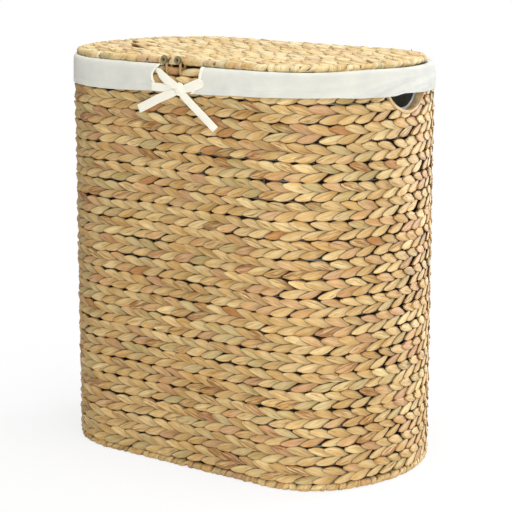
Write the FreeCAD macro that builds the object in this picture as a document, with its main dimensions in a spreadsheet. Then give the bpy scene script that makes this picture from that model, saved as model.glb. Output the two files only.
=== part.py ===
import FreeCAD, Part
import Sketcher
import math
import os
import re

# A lidded laundry hamper: a welded wire frame, plaited water-hyacinth courses woven on it,
# a woven lid that turns on two stalk loops, and a cotton liner with a fold-over cuff.
# Length runs along X, the hinge is on the long side that faces -Y, and Z = 0 is the floor.

Vector = FreeCAD.Vector
Rotation = FreeCAD.Rotation

# ---------------------------------------------------------------- driving sizes, millimetres
SIZES = {
    "basket_length": 560,
    "basket_width": 335,
    "corner_radius": 121.5,
    "end_radius": 219.5,
    "plait_courses": 21,
    "plait_height": 26.9,
    "wall_thickness": 12,
    "clearance": 0.3,
    "upright_radius": 2,
    "upright_spacing": 98,
    "rim_wire_radius": 3,
    "base_wire_radius": 3,
    "base_wrap_radius": 5.7,
    "base_axis_height": 5.4,
    "base_panel_thickness": 8,
    "cross_wire_spacing": 56,
    "handle_width": 105,
    "handle_depth": 42,
    "handle_binding_width": 6.5,
    "handle_binding_inset": 1,
    "handle_post_gap": 18,
    "lid_length": 546,
    "lid_shift": -4.5,
    "lid_gap": 0.8,
    "lid_wrap_radius": 5.4,
    "lid_wire_radius": 2.5,
    "lid_panel_thickness": 8,
    "stalk_radius": 2,
    "stalk_running_gap": 0.4,
    "hinge_centre": -10,
    "hinge_spacing": 25,
    "hinge_slot_depth": 9.3,
    "knob_radius": 5.2,
    "knob_length": 4,
    "cloth_thickness": 1.2,
    "cuff_depth": 36,
    "cuff_gap_left": -49,
    "cuff_gap_right": 43,
    "liner_notch_depth": 20,
    "edge_binding_width": 4,
    "tape_width": 12,
    "tape_thickness": 0.8,
    "knot_centre": 3,
    "knot_width": 15,
    "knot_height": 12,
    "knot_thickness": 4,
    "knot_fillet": 1.2,
    "knot_drop": 24.1,
    "loop_length": 43,
    "left_tail_length": 79,
    "right_tail_length": 83,
}

# Levels and distances that follow from the driving sizes.
DERIVED = {
    "half_width": "basket_width / 2",
    "end_centre": "basket_length / 2 - end_radius",
    "wall_middle": "wall_thickness / 2",
    "wall_base": "base_axis_height + base_wrap_radius + clearance",
    "wall_top": "wall_base + plait_courses * plait_height",
    "rim_axis": "wall_top + clearance + wall_middle",
    "rim_axis_y": "half_width - wall_middle",
    "cuff_inner_radius": "wall_middle + clearance",
    "cuff_outer_radius": "cuff_inner_radius + cloth_thickness",
    "cuff_hem": "rim_axis + cuff_outer_radius - cuff_depth",
    "liner_inset": "wall_thickness + clearance",
    "liner_inner_inset": "liner_inset + cloth_thickness",
    "panel_top": "base_axis_height + base_panel_thickness / 2",
    "liner_floor": "panel_top + clearance",
    "lid_axis": "rim_axis + cuff_outer_radius + lid_gap + lid_wrap_radius",
    "lid_width": "basket_width - wall_thickness + 2 * lid_wrap_radius",
    "handle_bottom": "wall_top - handle_depth",
    "handle_radius": "(handle_width ^ 2 / 4 + handle_depth ^ 2) / (2 * handle_depth)",
    "handle_centre": "handle_bottom + handle_radius",
    "binding_radius": "handle_radius + handle_binding_width",
    "stalk_ring_radius": "rim_wire_radius + stalk_running_gap + stalk_radius",
    "cloth_front": "half_width + clearance",
    "tape_front": "cloth_front + tape_thickness + clearance",
    "knot_level": "rim_axis - knot_drop",
    "knot_left": "knot_centre - knot_width / 2 - clearance",
    "knot_right": "knot_centre + knot_width / 2 + clearance",
    "reach": "basket_length",
}

LOOP_ANGLE = 150
LEFT_TAIL_ANGLE = 203
RIGHT_TAIL_ANGLE = -34
RIGHT_TIE_ANGLE = 20
SIDE_POSTS = 4
CORNER_POST_ANGLE = 60
CROSS_WIRES = 5
SAME_PLACE = 1e-6

doc = FreeCAD.newDocument("laundry_hamper")
sheet = doc.addObject("Spreadsheet::Sheet", "sizes")
for row, (alias, size) in enumerate(SIZES.items(), start=1):
    sheet.set(f"A{row}", alias)
    sheet.set(f"B{row}", str(size))
    sheet.setAlias(f"B{row}", alias)
# A point that is moved along X to measure a formula.
gauge = doc.addObject("Part::Vertex", "gauge")
doc.recompute()

nodes = []


# ---------------------------------------------------------------- helpers
def formula(text):
    """Writes a formula in words as an expression on the sheet's cells."""

    def spell(word):
        name = word[0]
        if name in DERIVED:
            return f"({formula(DERIVED[name])})"
        return f"sizes.{name}" if name in SIZES else name

    return re.sub(r"[a-z_]+", spell, str(text))


def number(text):
    """The value of a formula, in millimetres."""
    gauge.setExpression("X", formula(text))
    gauge.recompute()
    return gauge.X.Value


def bind(thing, **formulas):
    """Ties properties to formulas; x, y and z mean the placement's base."""
    for name, text in formulas.items():
        path = f".Placement.Base.{name}" if name in "xyz" else name
        thing.setExpression(path, formula(text))
    return thing


def node(thing, name):
    """Marks an object as a sub-part that gets a file of its own."""
    thing.Label = name
    nodes.append(thing)
    return thing


def box(name, x, y, z, size_x, size_y, size_z):
    return bind(doc.addObject("Part::Box", name), x=x, y=y, z=z,
                Length=size_x, Width=size_y, Height=size_z)


def cylinder(name, radius, length, x=0, y=0, z=0, along="z"):
    """A round bar that starts at x, y, z and runs along one axis."""
    bar = doc.addObject("Part::Cylinder", name)
    turns = {"x": Rotation(Vector(0, 1, 0), 90), "y": Rotation(Vector(1, 0, 0), -90), "z": Rotation()}
    bar.Placement = FreeCAD.Placement(Vector(), turns[along])
    return bind(bar, Radius=radius, Height=length, x=x, y=y, z=z)


def cut(name, base, tool):
    piece = doc.addObject("Part::Cut", name)
    piece.Base = base
    piece.Tool = tool
    return piece


def common(name, base, tool):
    piece = doc.addObject("Part::Common", name)
    piece.Base = base
    piece.Tool = tool
    return piece


def group(name, pieces):
    together = doc.addObject("Part::Compound", name)
    together.Links = pieces
    return together


def draw_oval(sketch, length, width, inset):
    """Adds a fully constrained oval: straight sides, corner arcs and end arcs, moved in by inset."""
    side = number(f"{width} / 2 - ({inset})")
    corner = number(f"corner_radius - ({inset})")
    end = number(f"end_radius - ({inset})")
    end_x = number(f"{length} / 2 - end_radius")
    corner_y = side - corner
    corner_x = end_x + math.sqrt((end - corner) ** 2 - corner_y ** 2)
    join = math.atan2(corner_y, corner_x - end_x)
    half_turn = math.pi

    def arc(x, y, radius, start, stop):
        return Part.ArcOfCircle(Part.Circle(Vector(x, y), Vector(0, 0, 1), radius), start, stop)

    first = sketch.GeometryCount
    sketch.addGeometry([
        Part.LineSegment(Vector(-corner_x, -side), Vector(corner_x, -side)),
        arc(corner_x, -corner_y, corner, 1.5 * half_turn, 2 * half_turn - join),
        arc(end_x, 0, end, -join, join),
        arc(corner_x, corner_y, corner, join, half_turn / 2),
        Part.LineSegment(Vector(corner_x, side), Vector(-corner_x, side)),
        arc(-corner_x, corner_y, corner, half_turn / 2, half_turn - join),
        arc(-end_x, 0, end, half_turn - join, half_turn + join),
        arc(-corner_x, -corner_y, corner, half_turn + join, 1.5 * half_turn),
    ], False)
    front, corner_a, right, corner_b, back, corner_c, left, corner_d = range(first, first + 8)
    rules = [Sketcher.Constraint("Tangent", first + i, 2, first + (i + 1) % 8, 1) for i in range(8)]
    rules += [Sketcher.Constraint("Horizontal", line) for line in (front, back)]
    rules += [Sketcher.Constraint("PointOnObject", arc_end, 3, -1) for arc_end in (right, left)]
    rules += [Sketcher.Constraint("Equal", right, left)]
    rules += [Sketcher.Constraint("Equal", corner_a, other) for other in (corner_b, corner_c, corner_d)]
    sketch.addConstraint(rules)
    driven = [
        (Sketcher.Constraint("Radius", right, end), f"end_radius - ({inset})"),
        (Sketcher.Constraint("Radius", corner_a, corner), f"corner_radius - ({inset})"),
        (Sketcher.Constraint("DistanceX", -1, 1, right, 3, end_x), f"{length} / 2 - end_radius"),
        (Sketcher.Constraint("DistanceX", left, 3, -1, 1, end_x), f"{length} / 2 - end_radius"),
        (Sketcher.Constraint("DistanceY", -1, 1, back, 1, side), f"{width} / 2 - ({inset})"),
        (Sketcher.Constraint("DistanceY", front, 1, -1, 1, side), f"{width} / 2 - ({inset})"),
    ]
    for rule, text in driven:
        index = sketch.addConstraint(rule)
        sketch.setExpression(f"Constraints[{index}]", formula(text))


def oval_sketch(name, insets, length="basket_length", width="basket_width", x=0, z=0):
    sketch = doc.addObject("Sketcher::SketchObject", name)
    for inset in insets:
        draw_oval(sketch, length, width, inset)
    return bind(sketch, x=x, z=z)


def raise_up(name, section, height, z=0):
    """A solid raised from a closed section."""
    solid = doc.addObject("Part::Extrusion", name)
    solid.Base = section
    solid.DirMode = "Custom"
    solid.Dir = Vector(0, 0, 1)
    solid.Solid = True
    return bind(solid, LengthFwd=height, z=z)


def rod_along(name, path, radius, x, y, z, along_x=True):
    """A round rod swept along a closed path, from a circle that stands at the path's start."""
    circle = doc.addObject("Part::Circle", f"{name}_circle")
    turn = Rotation(Vector(0, 1, 0), 90) if along_x else Rotation()
    circle.Placement = FreeCAD.Placement(Vector(), turn)
    bind(circle, Radius=radius, x=x, y=y, z=z)
    rod = doc.addObject("Part::Sweep", name)
    rod.Sections = [circle]
    rod.Spine = (path, [f"Edge{i + 1}" for i in range(path.GeometryCount)])
    rod.Solid = True
    return rod


def oval_rod(name, path, radius, inset, length="basket_length", width="basket_width", x=0, z=0):
    """A rod along an oval path; the circle stands where the front straight begins."""
    corner_y = f"({width} / 2 - corner_radius)"
    start = f"-({length} / 2 - end_radius + sqrt((end_radius - corner_radius) ^ 2 - {corner_y} ^ 2))"
    return rod_along(name, path, radius, f"{start} + ({x})", f"-({width} / 2 - ({inset}))", z)


# ---------------------------------------------------------------- wire frame
rim_path = oval_sketch("rim_path", ["wall_middle"], z="rim_axis")
base_path = oval_sketch("base_path", ["base_wrap_radius"], z="base_axis_height")


def upright_places():
    """Where the uprights stand: along the long sides, round the corners and beside the hand holes."""
    places = []
    corner_y = "(half_width - corner_radius)"
    corner_x = f"(end_centre + sqrt((end_radius - corner_radius) ^ 2 - {corner_y} ^ 2))"
    arc_radius = "(corner_radius - wall_middle)"
    post_y = "(handle_width / 2 + handle_post_gap)"
    for side in (-1, 1):
        for i in range(SIDE_POSTS):
            places.append((f"(2 * {i} - {SIDE_POSTS - 1}) / 2 * upright_spacing", f"{side} * rim_axis_y"))
        for end in (-1, 1):
            places.append((f"{end} * ({corner_x} + {arc_radius} * cos({CORNER_POST_ANGLE} deg))",
                           f"{side} * ({corner_y} + {arc_radius} * sin({CORNER_POST_ANGLE} deg))"))
            places.append((f"{end} * (end_centre + sqrt((end_radius - wall_middle) ^ 2 - {post_y} ^ 2))",
                           f"{side} * {post_y}"))
    return places


def cross_bars(name, radius, half_reach, x, z):
    """Straight wires across the width, side by side."""
    middle = (CROSS_WIRES - 1) / 2
    return [cylinder(f"{name}_{i + 1}", radius, f"2 * ({half_reach})",
                     f"{x} + {i - middle} * cross_wire_spacing", f"-({half_reach})", z, along="y")
            for i in range(CROSS_WIRES)]


top_rim_wire = oval_rod("top_rim_rod", rim_path, "rim_wire_radius", "wall_middle", z="rim_axis")
base_rim_wire = oval_rod("base_rim_rod", base_path, "base_wire_radius", "base_wrap_radius",
                         z="base_axis_height")
uprights = []
upright_spaces = []
for i, (x, y) in enumerate(upright_places(), start=1):
    foot = "base_axis_height + base_wire_radius + clearance"
    uprights.append(cylinder(f"upright_{i}", "upright_radius",
                             f"rim_axis - rim_wire_radius - clearance - ({foot})", x, y, foot))
    upright_spaces.append(cylinder(f"upright_space_{i}", "upright_radius + clearance",
                                   "rim_axis - base_axis_height", x, y, "base_axis_height"))
node(top_rim_wire, "top_rim_wire")
node(base_rim_wire, "base_rim_wire")
node(group("uprights", uprights), "upright_wires")
base_half_reach = "half_width - base_wrap_radius"
node(group("base_bars", cross_bars("base_bar", "upright_radius",
                                   f"{base_half_reach} - base_wire_radius - clearance", "0",
                                   "base_axis_height")), "base_cross_wires")
base_bar_space = group("base_bar_space", cross_bars("base_bar_space", "upright_radius + clearance",
                                                    base_half_reach, "0", "base_axis_height"))
upright_space = group("upright_space", upright_spaces)

# ---------------------------------------------------------------- hand holes and hinge slots
# Each hand hole is the lower part of a circle that hangs from the top of the wall at one end.
below_wall_top = box("below_wall_top", "-reach", "-reach", 0, "2 * reach", "2 * reach", "wall_top")


def hand_hole(name, radius, end):
    start = 0 if end > 0 else "-reach"
    bar = cylinder(f"{name}_bar", radius, "reach", start, 0, "handle_centre", along="x")
    return common(name, bar, below_wall_top)


hand_holes = [hand_hole(f"hand_hole_{i}", "handle_radius", end) for i, end in enumerate((-1, 1))]
binding_rounds = [hand_hole(f"binding_round_{i}", "binding_radius", end) for i, end in enumerate((-1, 1))]
binding_spaces = [hand_hole(f"binding_space_{i}", "binding_radius + clearance", end)
                  for i, end in enumerate((-1, 1))]
hinge_places = [f"hinge_centre + {side} * hinge_spacing / 2" for side in (-1, 1)]
hinge_space = group("hinge_space", [
    box(f"hinge_space_{i}", f"{x} - stalk_radius - clearance", "-rim_axis_y - wall_thickness",
        "rim_axis - hinge_slot_depth", "2 * (stalk_radius + clearance)",
        "wall_thickness + stalk_ring_radius + stalk_radius + clearance",
        "hinge_slot_depth + lid_axis - rim_axis + 2 * lid_wrap_radius")
    for i, x in enumerate(hinge_places)])

# ---------------------------------------------------------------- woven wall
wall_section = oval_sketch("wall_section", ["0", "wall_thickness"])
wall_openings = group("wall_openings", [upright_space, hinge_space] + binding_spaces)
for course in range(SIZES["plait_courses"]):
    ring = raise_up(f"plait_ring_{course + 1:02d}", wall_section, "plait_height",
                    f"wall_base + {course} * plait_height")
    node(cut(f"plait_{course + 1:02d}", ring, wall_openings), f"plait_course_{course + 1:02d}")

binding_section = oval_sketch("binding_section",
                              ["handle_binding_inset", "wall_thickness - handle_binding_inset"])
binding_ring = raise_up("binding_ring", binding_section, "wall_top")
for i, side in enumerate(("left", "right")):
    curved = common(f"{side}_binding_round", binding_ring, binding_rounds[i])
    node(cut(f"{side}_binding", curved, hand_holes[i]), f"{side}_handle_binding")

# ---------------------------------------------------------------- base and rim wraps
base_wrap_rod = oval_rod("base_wrap_rod", base_path, "base_wrap_radius", "base_wrap_radius",
                         z="base_axis_height")
base_bore_rod = oval_rod("base_bore_rod", base_path, "base_wire_radius + clearance", "base_wrap_radius",
                         z="base_axis_height")
below_floor = box("below_floor", "-reach", "-reach", "-reach", "2 * reach", "2 * reach", "reach")
base_wrap_spaces = group("base_wrap_spaces", [base_bore_rod, below_floor])
base_tube = cut("base_tube", base_wrap_rod, base_wrap_spaces)
base_post_holes = cut("base_post_holes", base_tube, upright_space)
node(cut("base_wrap", base_post_holes, base_bar_space), "base_rim_wrap")

panel_section = oval_sketch("panel_section", ["2 * base_wrap_radius + clearance"])
panel_plate = raise_up("panel_plate", panel_section, "base_panel_thickness",
                       "base_axis_height - base_panel_thickness / 2")
node(cut("panel", panel_plate, base_bar_space), "base_panel")

rim_wrap_rod = oval_rod("rim_wrap_rod", rim_path, "wall_middle", "wall_middle", z="rim_axis")
rim_bore_rod = oval_rod("rim_bore_rod", rim_path, "rim_wire_radius + clearance", "wall_middle",
                        z="rim_axis")
rim_tube = cut("rim_tube", rim_wrap_rod, rim_bore_rod)
rim_post_holes = cut("rim_post_holes", rim_tube, upright_space)
node(cut("rim_wrap", rim_post_holes, hinge_space), "top_rim_wrap")

# ---------------------------------------------------------------- liner
liner_floor_section = oval_sketch("liner_floor_section", ["liner_inset"])
node(raise_up("liner_floor", liner_floor_section, "cloth_thickness", "liner_floor"), "liner_bottom")
liner_section = oval_sketch("liner_section", ["liner_inset", "liner_inner_inset"])
liner_skin = raise_up("liner_skin", liner_section, "rim_axis - liner_floor - cloth_thickness",
                      "liner_floor + cloth_thickness")
liner_notch = box("liner_notch", "cuff_gap_left", "-reach", "rim_axis - liner_notch_depth",
                  "cuff_gap_right - cuff_gap_left", "reach", "reach")
liner_openings = group("liner_openings", [liner_notch] + hand_holes)
node(cut("liner", liner_skin, liner_openings), "liner_wall")

# The cuff rolls over the rim and hangs down outside, and is split around the hinge.
cuff_outer_rod = oval_rod("cuff_outer_rod", rim_path, "cuff_outer_radius", "wall_middle", z="rim_axis")
cuff_inner_rod = oval_rod("cuff_inner_rod", rim_path, "cuff_inner_radius", "wall_middle", z="rim_axis")
below_rim_axis = box("below_rim_axis", "-reach", "-reach", 0, "2 * reach", "2 * reach", "rim_axis")
cuff_tube = cut("cuff_tube", cuff_outer_rod, cuff_inner_rod)
cuff_roll = cut("cuff_roll", cuff_tube, below_rim_axis)
cuff_section = oval_sketch("cuff_section", ["-clearance - cloth_thickness", "-clearance"])
cuff_skirt = raise_up("cuff_skirt", cuff_section, "rim_axis - cuff_hem", "cuff_hem")
whole_cuff = doc.addObject("Part::Fuse", "whole_cuff")
whole_cuff.Base = cuff_roll
whole_cuff.Tool = cuff_skirt
cuff_gap = box("cuff_gap", "cuff_gap_left", "-reach", 0, "cuff_gap_right - cuff_gap_left", "reach",
               "2 * reach")
node(cut("cuff", whole_cuff, cuff_gap), "liner_cuff")
for side, x in (("left", "cuff_gap_left + clearance"),
                ("right", "cuff_gap_right - clearance - edge_binding_width")):
    strip = box(f"{side}_edge_strip", x, "-reach", 0, "edge_binding_width", "reach", "2 * reach")
    node(common(f"{side}_edge", whole_cuff, strip), f"cuff_binding_{side}")


# ---------------------------------------------------------------- ties and bow
def tape(name, label, x, z, length, angle, front, window_left, window_right):
    """A flat cotton tape against the wall, from x, z at an angle, kept between two limits along X."""
    strip = doc.addObject("Part::Box", f"{name}_strip")
    strip.Placement.Rotation = Rotation(Vector(0, 1, 0), -angle)
    half = "tape_width / 2"
    bind(strip, Length=length, Width="tape_thickness", Height="tape_width",
         x=f"{x} + {half} * sin({angle} deg)", y=f"-({front}) - tape_thickness",
         z=f"{z} - {half} * cos({angle} deg)")
    window = box(f"{name}_window", window_left, "-reach", 0, f"{window_right} - ({window_left})",
                 "reach", "2 * reach")
    return node(common(name, strip, window), label)


tie_room = "edge_binding_width + 2 * clearance"
tape("left_tie", "tie_left", "cuff_gap_left", "cuff_hem + tape_width / 2",
     "cuff_gap_right - cuff_gap_left", 0, "cloth_front", f"cuff_gap_left + {tie_room}", "knot_left")
tape("right_tie", "tie_right", "knot_centre", "knot_level - clearance", "cuff_gap_right - cuff_gap_left",
     RIGHT_TIE_ANGLE, "cloth_front", "knot_right", f"cuff_gap_right - ({tie_room})")
tape("loop", "bow_loop", "knot_centre", "knot_level + knot_height / 4", "loop_length", LOOP_ANGLE,
     "tape_front", "-reach", "knot_left")
tape("left_tail", "bow_tail_left", "knot_centre", "knot_level - knot_height / 3", "left_tail_length",
     LEFT_TAIL_ANGLE, "tape_front", "-reach", "knot_left")
tape("right_tail", "bow_tail_right", "knot_centre", "knot_level - knot_height / 3", "right_tail_length",
     RIGHT_TAIL_ANGLE, "tape_front", "knot_right", "reach")

knot = doc.addObject("PartDesign::Body", "knot")
knot_plane = next(plane for plane in knot.Origin.OriginFeatures if plane.Role == "XZ_Plane")
knot_sketch = knot.newObject("Sketcher::SketchObject", "knot_sketch")
knot_sketch.AttachmentSupport = (knot_plane, "")
knot_sketch.MapMode = "FlatFace"
half_knot = Vector(number("knot_width / 2"), number("knot_height / 2"))
corners = [Vector(x * half_knot.x, z * half_knot.y) for x, z in ((-1, -1), (1, -1), (1, 1), (-1, 1))]
knot_sketch.addGeometry([Part.LineSegment(corners[i], corners[(i + 1) % 4]) for i in range(4)], False)
knot_sketch.addConstraint([Sketcher.Constraint("Coincident", i, 2, (i + 1) % 4, 1) for i in range(4)]
                          + [Sketcher.Constraint("Horizontal", i) for i in (0, 2)]
                          + [Sketcher.Constraint("Vertical", i) for i in (1, 3)]
                          + [Sketcher.Constraint("Symmetric", 0, 1, 2, 1, -1, 1)])
for kind, line, alias in (("DistanceX", 0, "knot_width"), ("DistanceY", 1, "knot_height")):
    index = knot_sketch.addConstraint(Sketcher.Constraint(kind, line, 1, line, 2, SIZES[alias]))
    knot_sketch.setExpression(f"Constraints[{index}]", formula(alias))
knot_pad = knot.newObject("PartDesign::Pad", "knot_pad")
knot_pad.Profile = knot_sketch
bind(knot_pad, Length="knot_thickness")
doc.recompute()
knot_round = knot.newObject("PartDesign::Fillet", "knot_round")
outer_y = min(vertex.Y for vertex in knot_pad.Shape.Vertexes)
front_edges = [f"Edge{i}" for i, edge in enumerate(knot_pad.Shape.Edges, start=1)
               if all(abs(vertex.Y - outer_y) < SAME_PLACE for vertex in edge.Vertexes)]
knot_round.Base = (knot_pad, front_edges)
bind(knot_round, Radius="knot_fillet")
bind(knot, x="knot_centre", y="-cloth_front", z="knot_level")
node(knot, "bow_knot")

# ---------------------------------------------------------------- lid
lid_path = oval_sketch("lid_path", ["lid_wrap_radius"], "lid_length", "lid_width", "lid_shift", "lid_axis")


def lid_rod(name, radius):
    return oval_rod(name, lid_path, radius, "lid_wrap_radius", "lid_length", "lid_width", "lid_shift",
                    "lid_axis")


lid_half_reach = "lid_width / 2 - lid_wrap_radius"
node(lid_rod("lid_wire_rod", "lid_wire_radius"), "lid_rim_wire")
node(group("lid_bars", cross_bars("lid_bar", "upright_radius",
                                  f"{lid_half_reach} - lid_wire_radius - clearance", "lid_shift",
                                  "lid_axis")), "lid_cross_wires")
lid_bar_space = group("lid_bar_space", cross_bars("lid_bar_space", "upright_radius + clearance",
                                                  lid_half_reach, "lid_shift", "lid_axis"))
lid_openings = group("lid_openings", [lid_bar_space, hinge_space])
lid_tube = cut("lid_tube", lid_rod("lid_wrap_rod", "lid_wrap_radius"),
               lid_rod("lid_bore_rod", "lid_wire_radius + clearance"))
node(cut("lid_wrap", lid_tube, lid_openings), "lid_rim_wrap")
lid_section = oval_sketch("lid_section", ["2 * lid_wrap_radius + clearance"], "lid_length", "lid_width",
                          "lid_shift")
lid_plate = raise_up("lid_plate", lid_section, "lid_panel_thickness", "lid_axis - lid_panel_thickness / 2")
node(cut("lid_top", lid_plate, lid_openings), "lid_panel")

# ---------------------------------------------------------------- hinge loops
# Each loop is a stalk bent round the bare rim wire below and the bare lid wire above.
# Its cut end stands out in front of the lid's wrap as a round knob.
upright_plane = Rotation(Vector(1, 1, 1), 120)
for i, (side, x) in enumerate(zip(("left", "right"), hinge_places)):
    path = doc.addObject("Sketcher::SketchObject", f"{side}_loop_path")
    path.Placement = FreeCAD.Placement(Vector(), upright_plane)
    bend = number("stalk_ring_radius")
    rise = number("lid_axis - rim_axis")
    lower = Part.Circle(Vector(0, 0), Vector(0, 0, 1), bend)
    upper = Part.Circle(Vector(0, rise), Vector(0, 0, 1), bend)
    path.addGeometry([
        Part.LineSegment(Vector(bend, 0), Vector(bend, rise)),
        Part.ArcOfCircle(upper, 0, math.pi),
        Part.LineSegment(Vector(-bend, rise), Vector(-bend, 0)),
        Part.ArcOfCircle(lower, math.pi, 2 * math.pi),
    ], False)
    path.addConstraint([Sketcher.Constraint("Tangent", k, 2, (k + 1) % 4, 1) for k in range(4)]
                       + [Sketcher.Constraint("Vertical", line) for line in (0, 2)]
                       + [Sketcher.Constraint("Coincident", 3, 3, -1, 1)])
    for rule, text in ((Sketcher.Constraint("Radius", 3, bend), "stalk_ring_radius"),
                       (Sketcher.Constraint("DistanceY", 0, 1, 0, 2, rise), "lid_axis - rim_axis")):
        index = path.addConstraint(rule)
        path.setExpression(f"Constraints[{index}]", formula(text))
    bind(path, x=x, y="-rim_axis_y", z="rim_axis")
    stalk = rod_along(f"{side}_stalk", path, "stalk_radius", x, "stalk_ring_radius - rim_axis_y",
                      "rim_axis", along_x=False)
    knob_back = "rim_axis_y + lid_wrap_radius + clearance"
    knob = cylinder(f"{side}_knob", "knob_radius", "knob_length", x, f"-({knob_back}) - knob_length",
                    "lid_axis", along="y")
    neck = cylinder(f"{side}_neck", "stalk_radius", f"{knob_back} - rim_axis_y - stalk_ring_radius", x,
                    f"-({knob_back})", "lid_axis", along="y")
    whole = doc.addObject("Part::MultiFuse", f"{side}_loop")
    whole.Shapes = [stalk, neck, knob]
    node(whole, f"hinge_loop_{side}")

# ---------------------------------------------------------------- checks and files
doc.recompute()
for thing in doc.Objects:
    if "Invalid" in thing.State or "Error" in thing.State:
        raise RuntimeError(f"{thing.Name} failed: {thing.State}")
    if thing.TypeId == "Sketcher::SketchObject" and not thing.FullyConstrained:
        raise RuntimeError(f"{thing.Name} is not fully constrained")
os.makedirs("parts", exist_ok=True)
for thing in nodes:
    if thing.Shape.isNull() or not thing.Shape.isValid() or thing.Shape.Volume <= 0:
        raise RuntimeError(f"{thing.Label} has no valid solid")
    thing.Shape.exportStep(os.path.join("parts", f"{thing.Label}.step"))
    bounds = thing.Shape.BoundBox
    print(f"{thing.Label}: {len(thing.Shape.Solids)} solids, {thing.Shape.Volume / 1000:.1f} cm3, "
          f"z {bounds.ZMin:.1f} to {bounds.ZMax:.1f}")
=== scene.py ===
# %% [markdown]
# # A lidded laundry hamper of plaited water hyacinth
# The hamper is a wire frame with water-hyacinth plaits woven round it, a lid of the same plait and
# a white cotton liner that folds out over the rim and is tied in front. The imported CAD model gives
# every place and size. Here each plain solid gets the piece that the eye expects in its place.

# %% The frame
import math

import bpy
import numpy as np
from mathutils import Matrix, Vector


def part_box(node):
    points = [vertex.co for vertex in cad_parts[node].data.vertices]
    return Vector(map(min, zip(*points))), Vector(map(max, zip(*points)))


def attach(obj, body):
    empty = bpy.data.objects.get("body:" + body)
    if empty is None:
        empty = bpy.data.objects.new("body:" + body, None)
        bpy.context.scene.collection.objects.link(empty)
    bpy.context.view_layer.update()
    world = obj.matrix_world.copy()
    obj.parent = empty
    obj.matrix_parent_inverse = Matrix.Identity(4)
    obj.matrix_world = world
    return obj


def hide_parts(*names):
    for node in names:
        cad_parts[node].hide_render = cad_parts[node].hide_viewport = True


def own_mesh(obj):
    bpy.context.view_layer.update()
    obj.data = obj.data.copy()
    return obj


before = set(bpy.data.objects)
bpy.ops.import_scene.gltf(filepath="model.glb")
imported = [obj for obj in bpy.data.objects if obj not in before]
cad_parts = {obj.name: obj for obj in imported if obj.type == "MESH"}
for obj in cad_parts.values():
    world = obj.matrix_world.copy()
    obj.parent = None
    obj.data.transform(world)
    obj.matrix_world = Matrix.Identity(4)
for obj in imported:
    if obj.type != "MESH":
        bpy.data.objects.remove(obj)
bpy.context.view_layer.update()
MM = 0.001

# %% [markdown]
# ## Colours and nodes
# Colours are written as sRGB hex, as on a colour card, and turned to linear light by one function.
# One helper adds a node with its settings and its links, so that each material reads as a list.
# Others mix two colours, or join a colour and a relief to the shader.

# %% Helpers for materials


def linear(card):
    """An sRGB hex colour as linear red, green, blue and alpha."""
    parts = [int(card[i:i + 2], 16) / 255 for i in (1, 3, 5)]
    return [c / 12.92 if c <= 0.04045 else ((c + 0.055) / 1.055) ** 2.4 for c in parts] + [1.0]


def add(tree, kind, settings=None, links=None):
    """Adds a node. A setting is a property or an input's value, and a link feeds an input."""
    made = tree.nodes.new("ShaderNode" + kind)
    for key, value in (settings or {}).items():
        if isinstance(key, str) and key[0].islower():
            setattr(made, key, value)
        else:
            made.inputs[key].default_value = value
    for key, socket in (links or {}).items():
        tree.links.new(socket, made.inputs[key])
    return made


def start_material(name, **sockets):
    """A new material with constants on its shader's own sockets."""
    material = bpy.data.materials.new(name)
    material.use_nodes = True
    shader = material.node_tree.nodes["Principled BSDF"]
    for key, value in sockets.items():
        shader.inputs[key.replace("_", " ")].default_value = value
    return material, material.node_tree, shader


def mix(tree, share, first, second, blend="MIX"):
    """One colour over another by a share. Each is a hex colour or another node's output."""
    made = add(tree, "Mix", {"data_type": "RGBA", "blend_type": blend}, {0: share})
    for key, colour in ((6, first), (7, second)):
        if isinstance(colour, str):
            made.inputs[key].default_value = linear(colour)
        else:
            tree.links.new(colour, made.inputs[key])
    return made.outputs[2]


def surface(tree, shader, colour, height, strength, distance):
    """Joins a colour to the shader, and a height as a fine relief."""
    bump = add(tree, "Bump", {"Strength": strength, "Distance": distance}, {"Height": height})
    tree.links.new(colour, shader.inputs["Base Color"])
    tree.links.new(bump.outputs[0], shader.inputs["Normal"])


# %% [markdown]
# ## Water hyacinth
# The stalks are dried in the sun and pressed flat as they are plaited. They turn straw yellow, with
# some pinkish, olive and rust-brown ones among them. Fine fibres run along each, and the cut or
# bruised ones have brown stains. The surface is dull with a faint waxy gleam, so it is a rough
# dielectric. Each leaf of the plait carries its own colour, and its place along and across the
# fibres, so one material draws every leaf with the fibres running the right way.
# Real fibres are about 0.3 mm apart, which is too fine to see, so they are drawn 1.8 mm apart.
# Each point also carries a painted shade that darkens the colour towards near black in the gaps,
# along the leaf edges and between wound turns.

# %% Dried water hyacinth
FIBRE = 1.8 * MM
STREAK_LENGTH = 32 * MM
STAIN_WIDTH = 3.0 * MM
STAIN_LENGTH = 24 * MM
PATCH_WIDTH = 11 * MM
PATCH_LENGTH = 30 * MM


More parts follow.
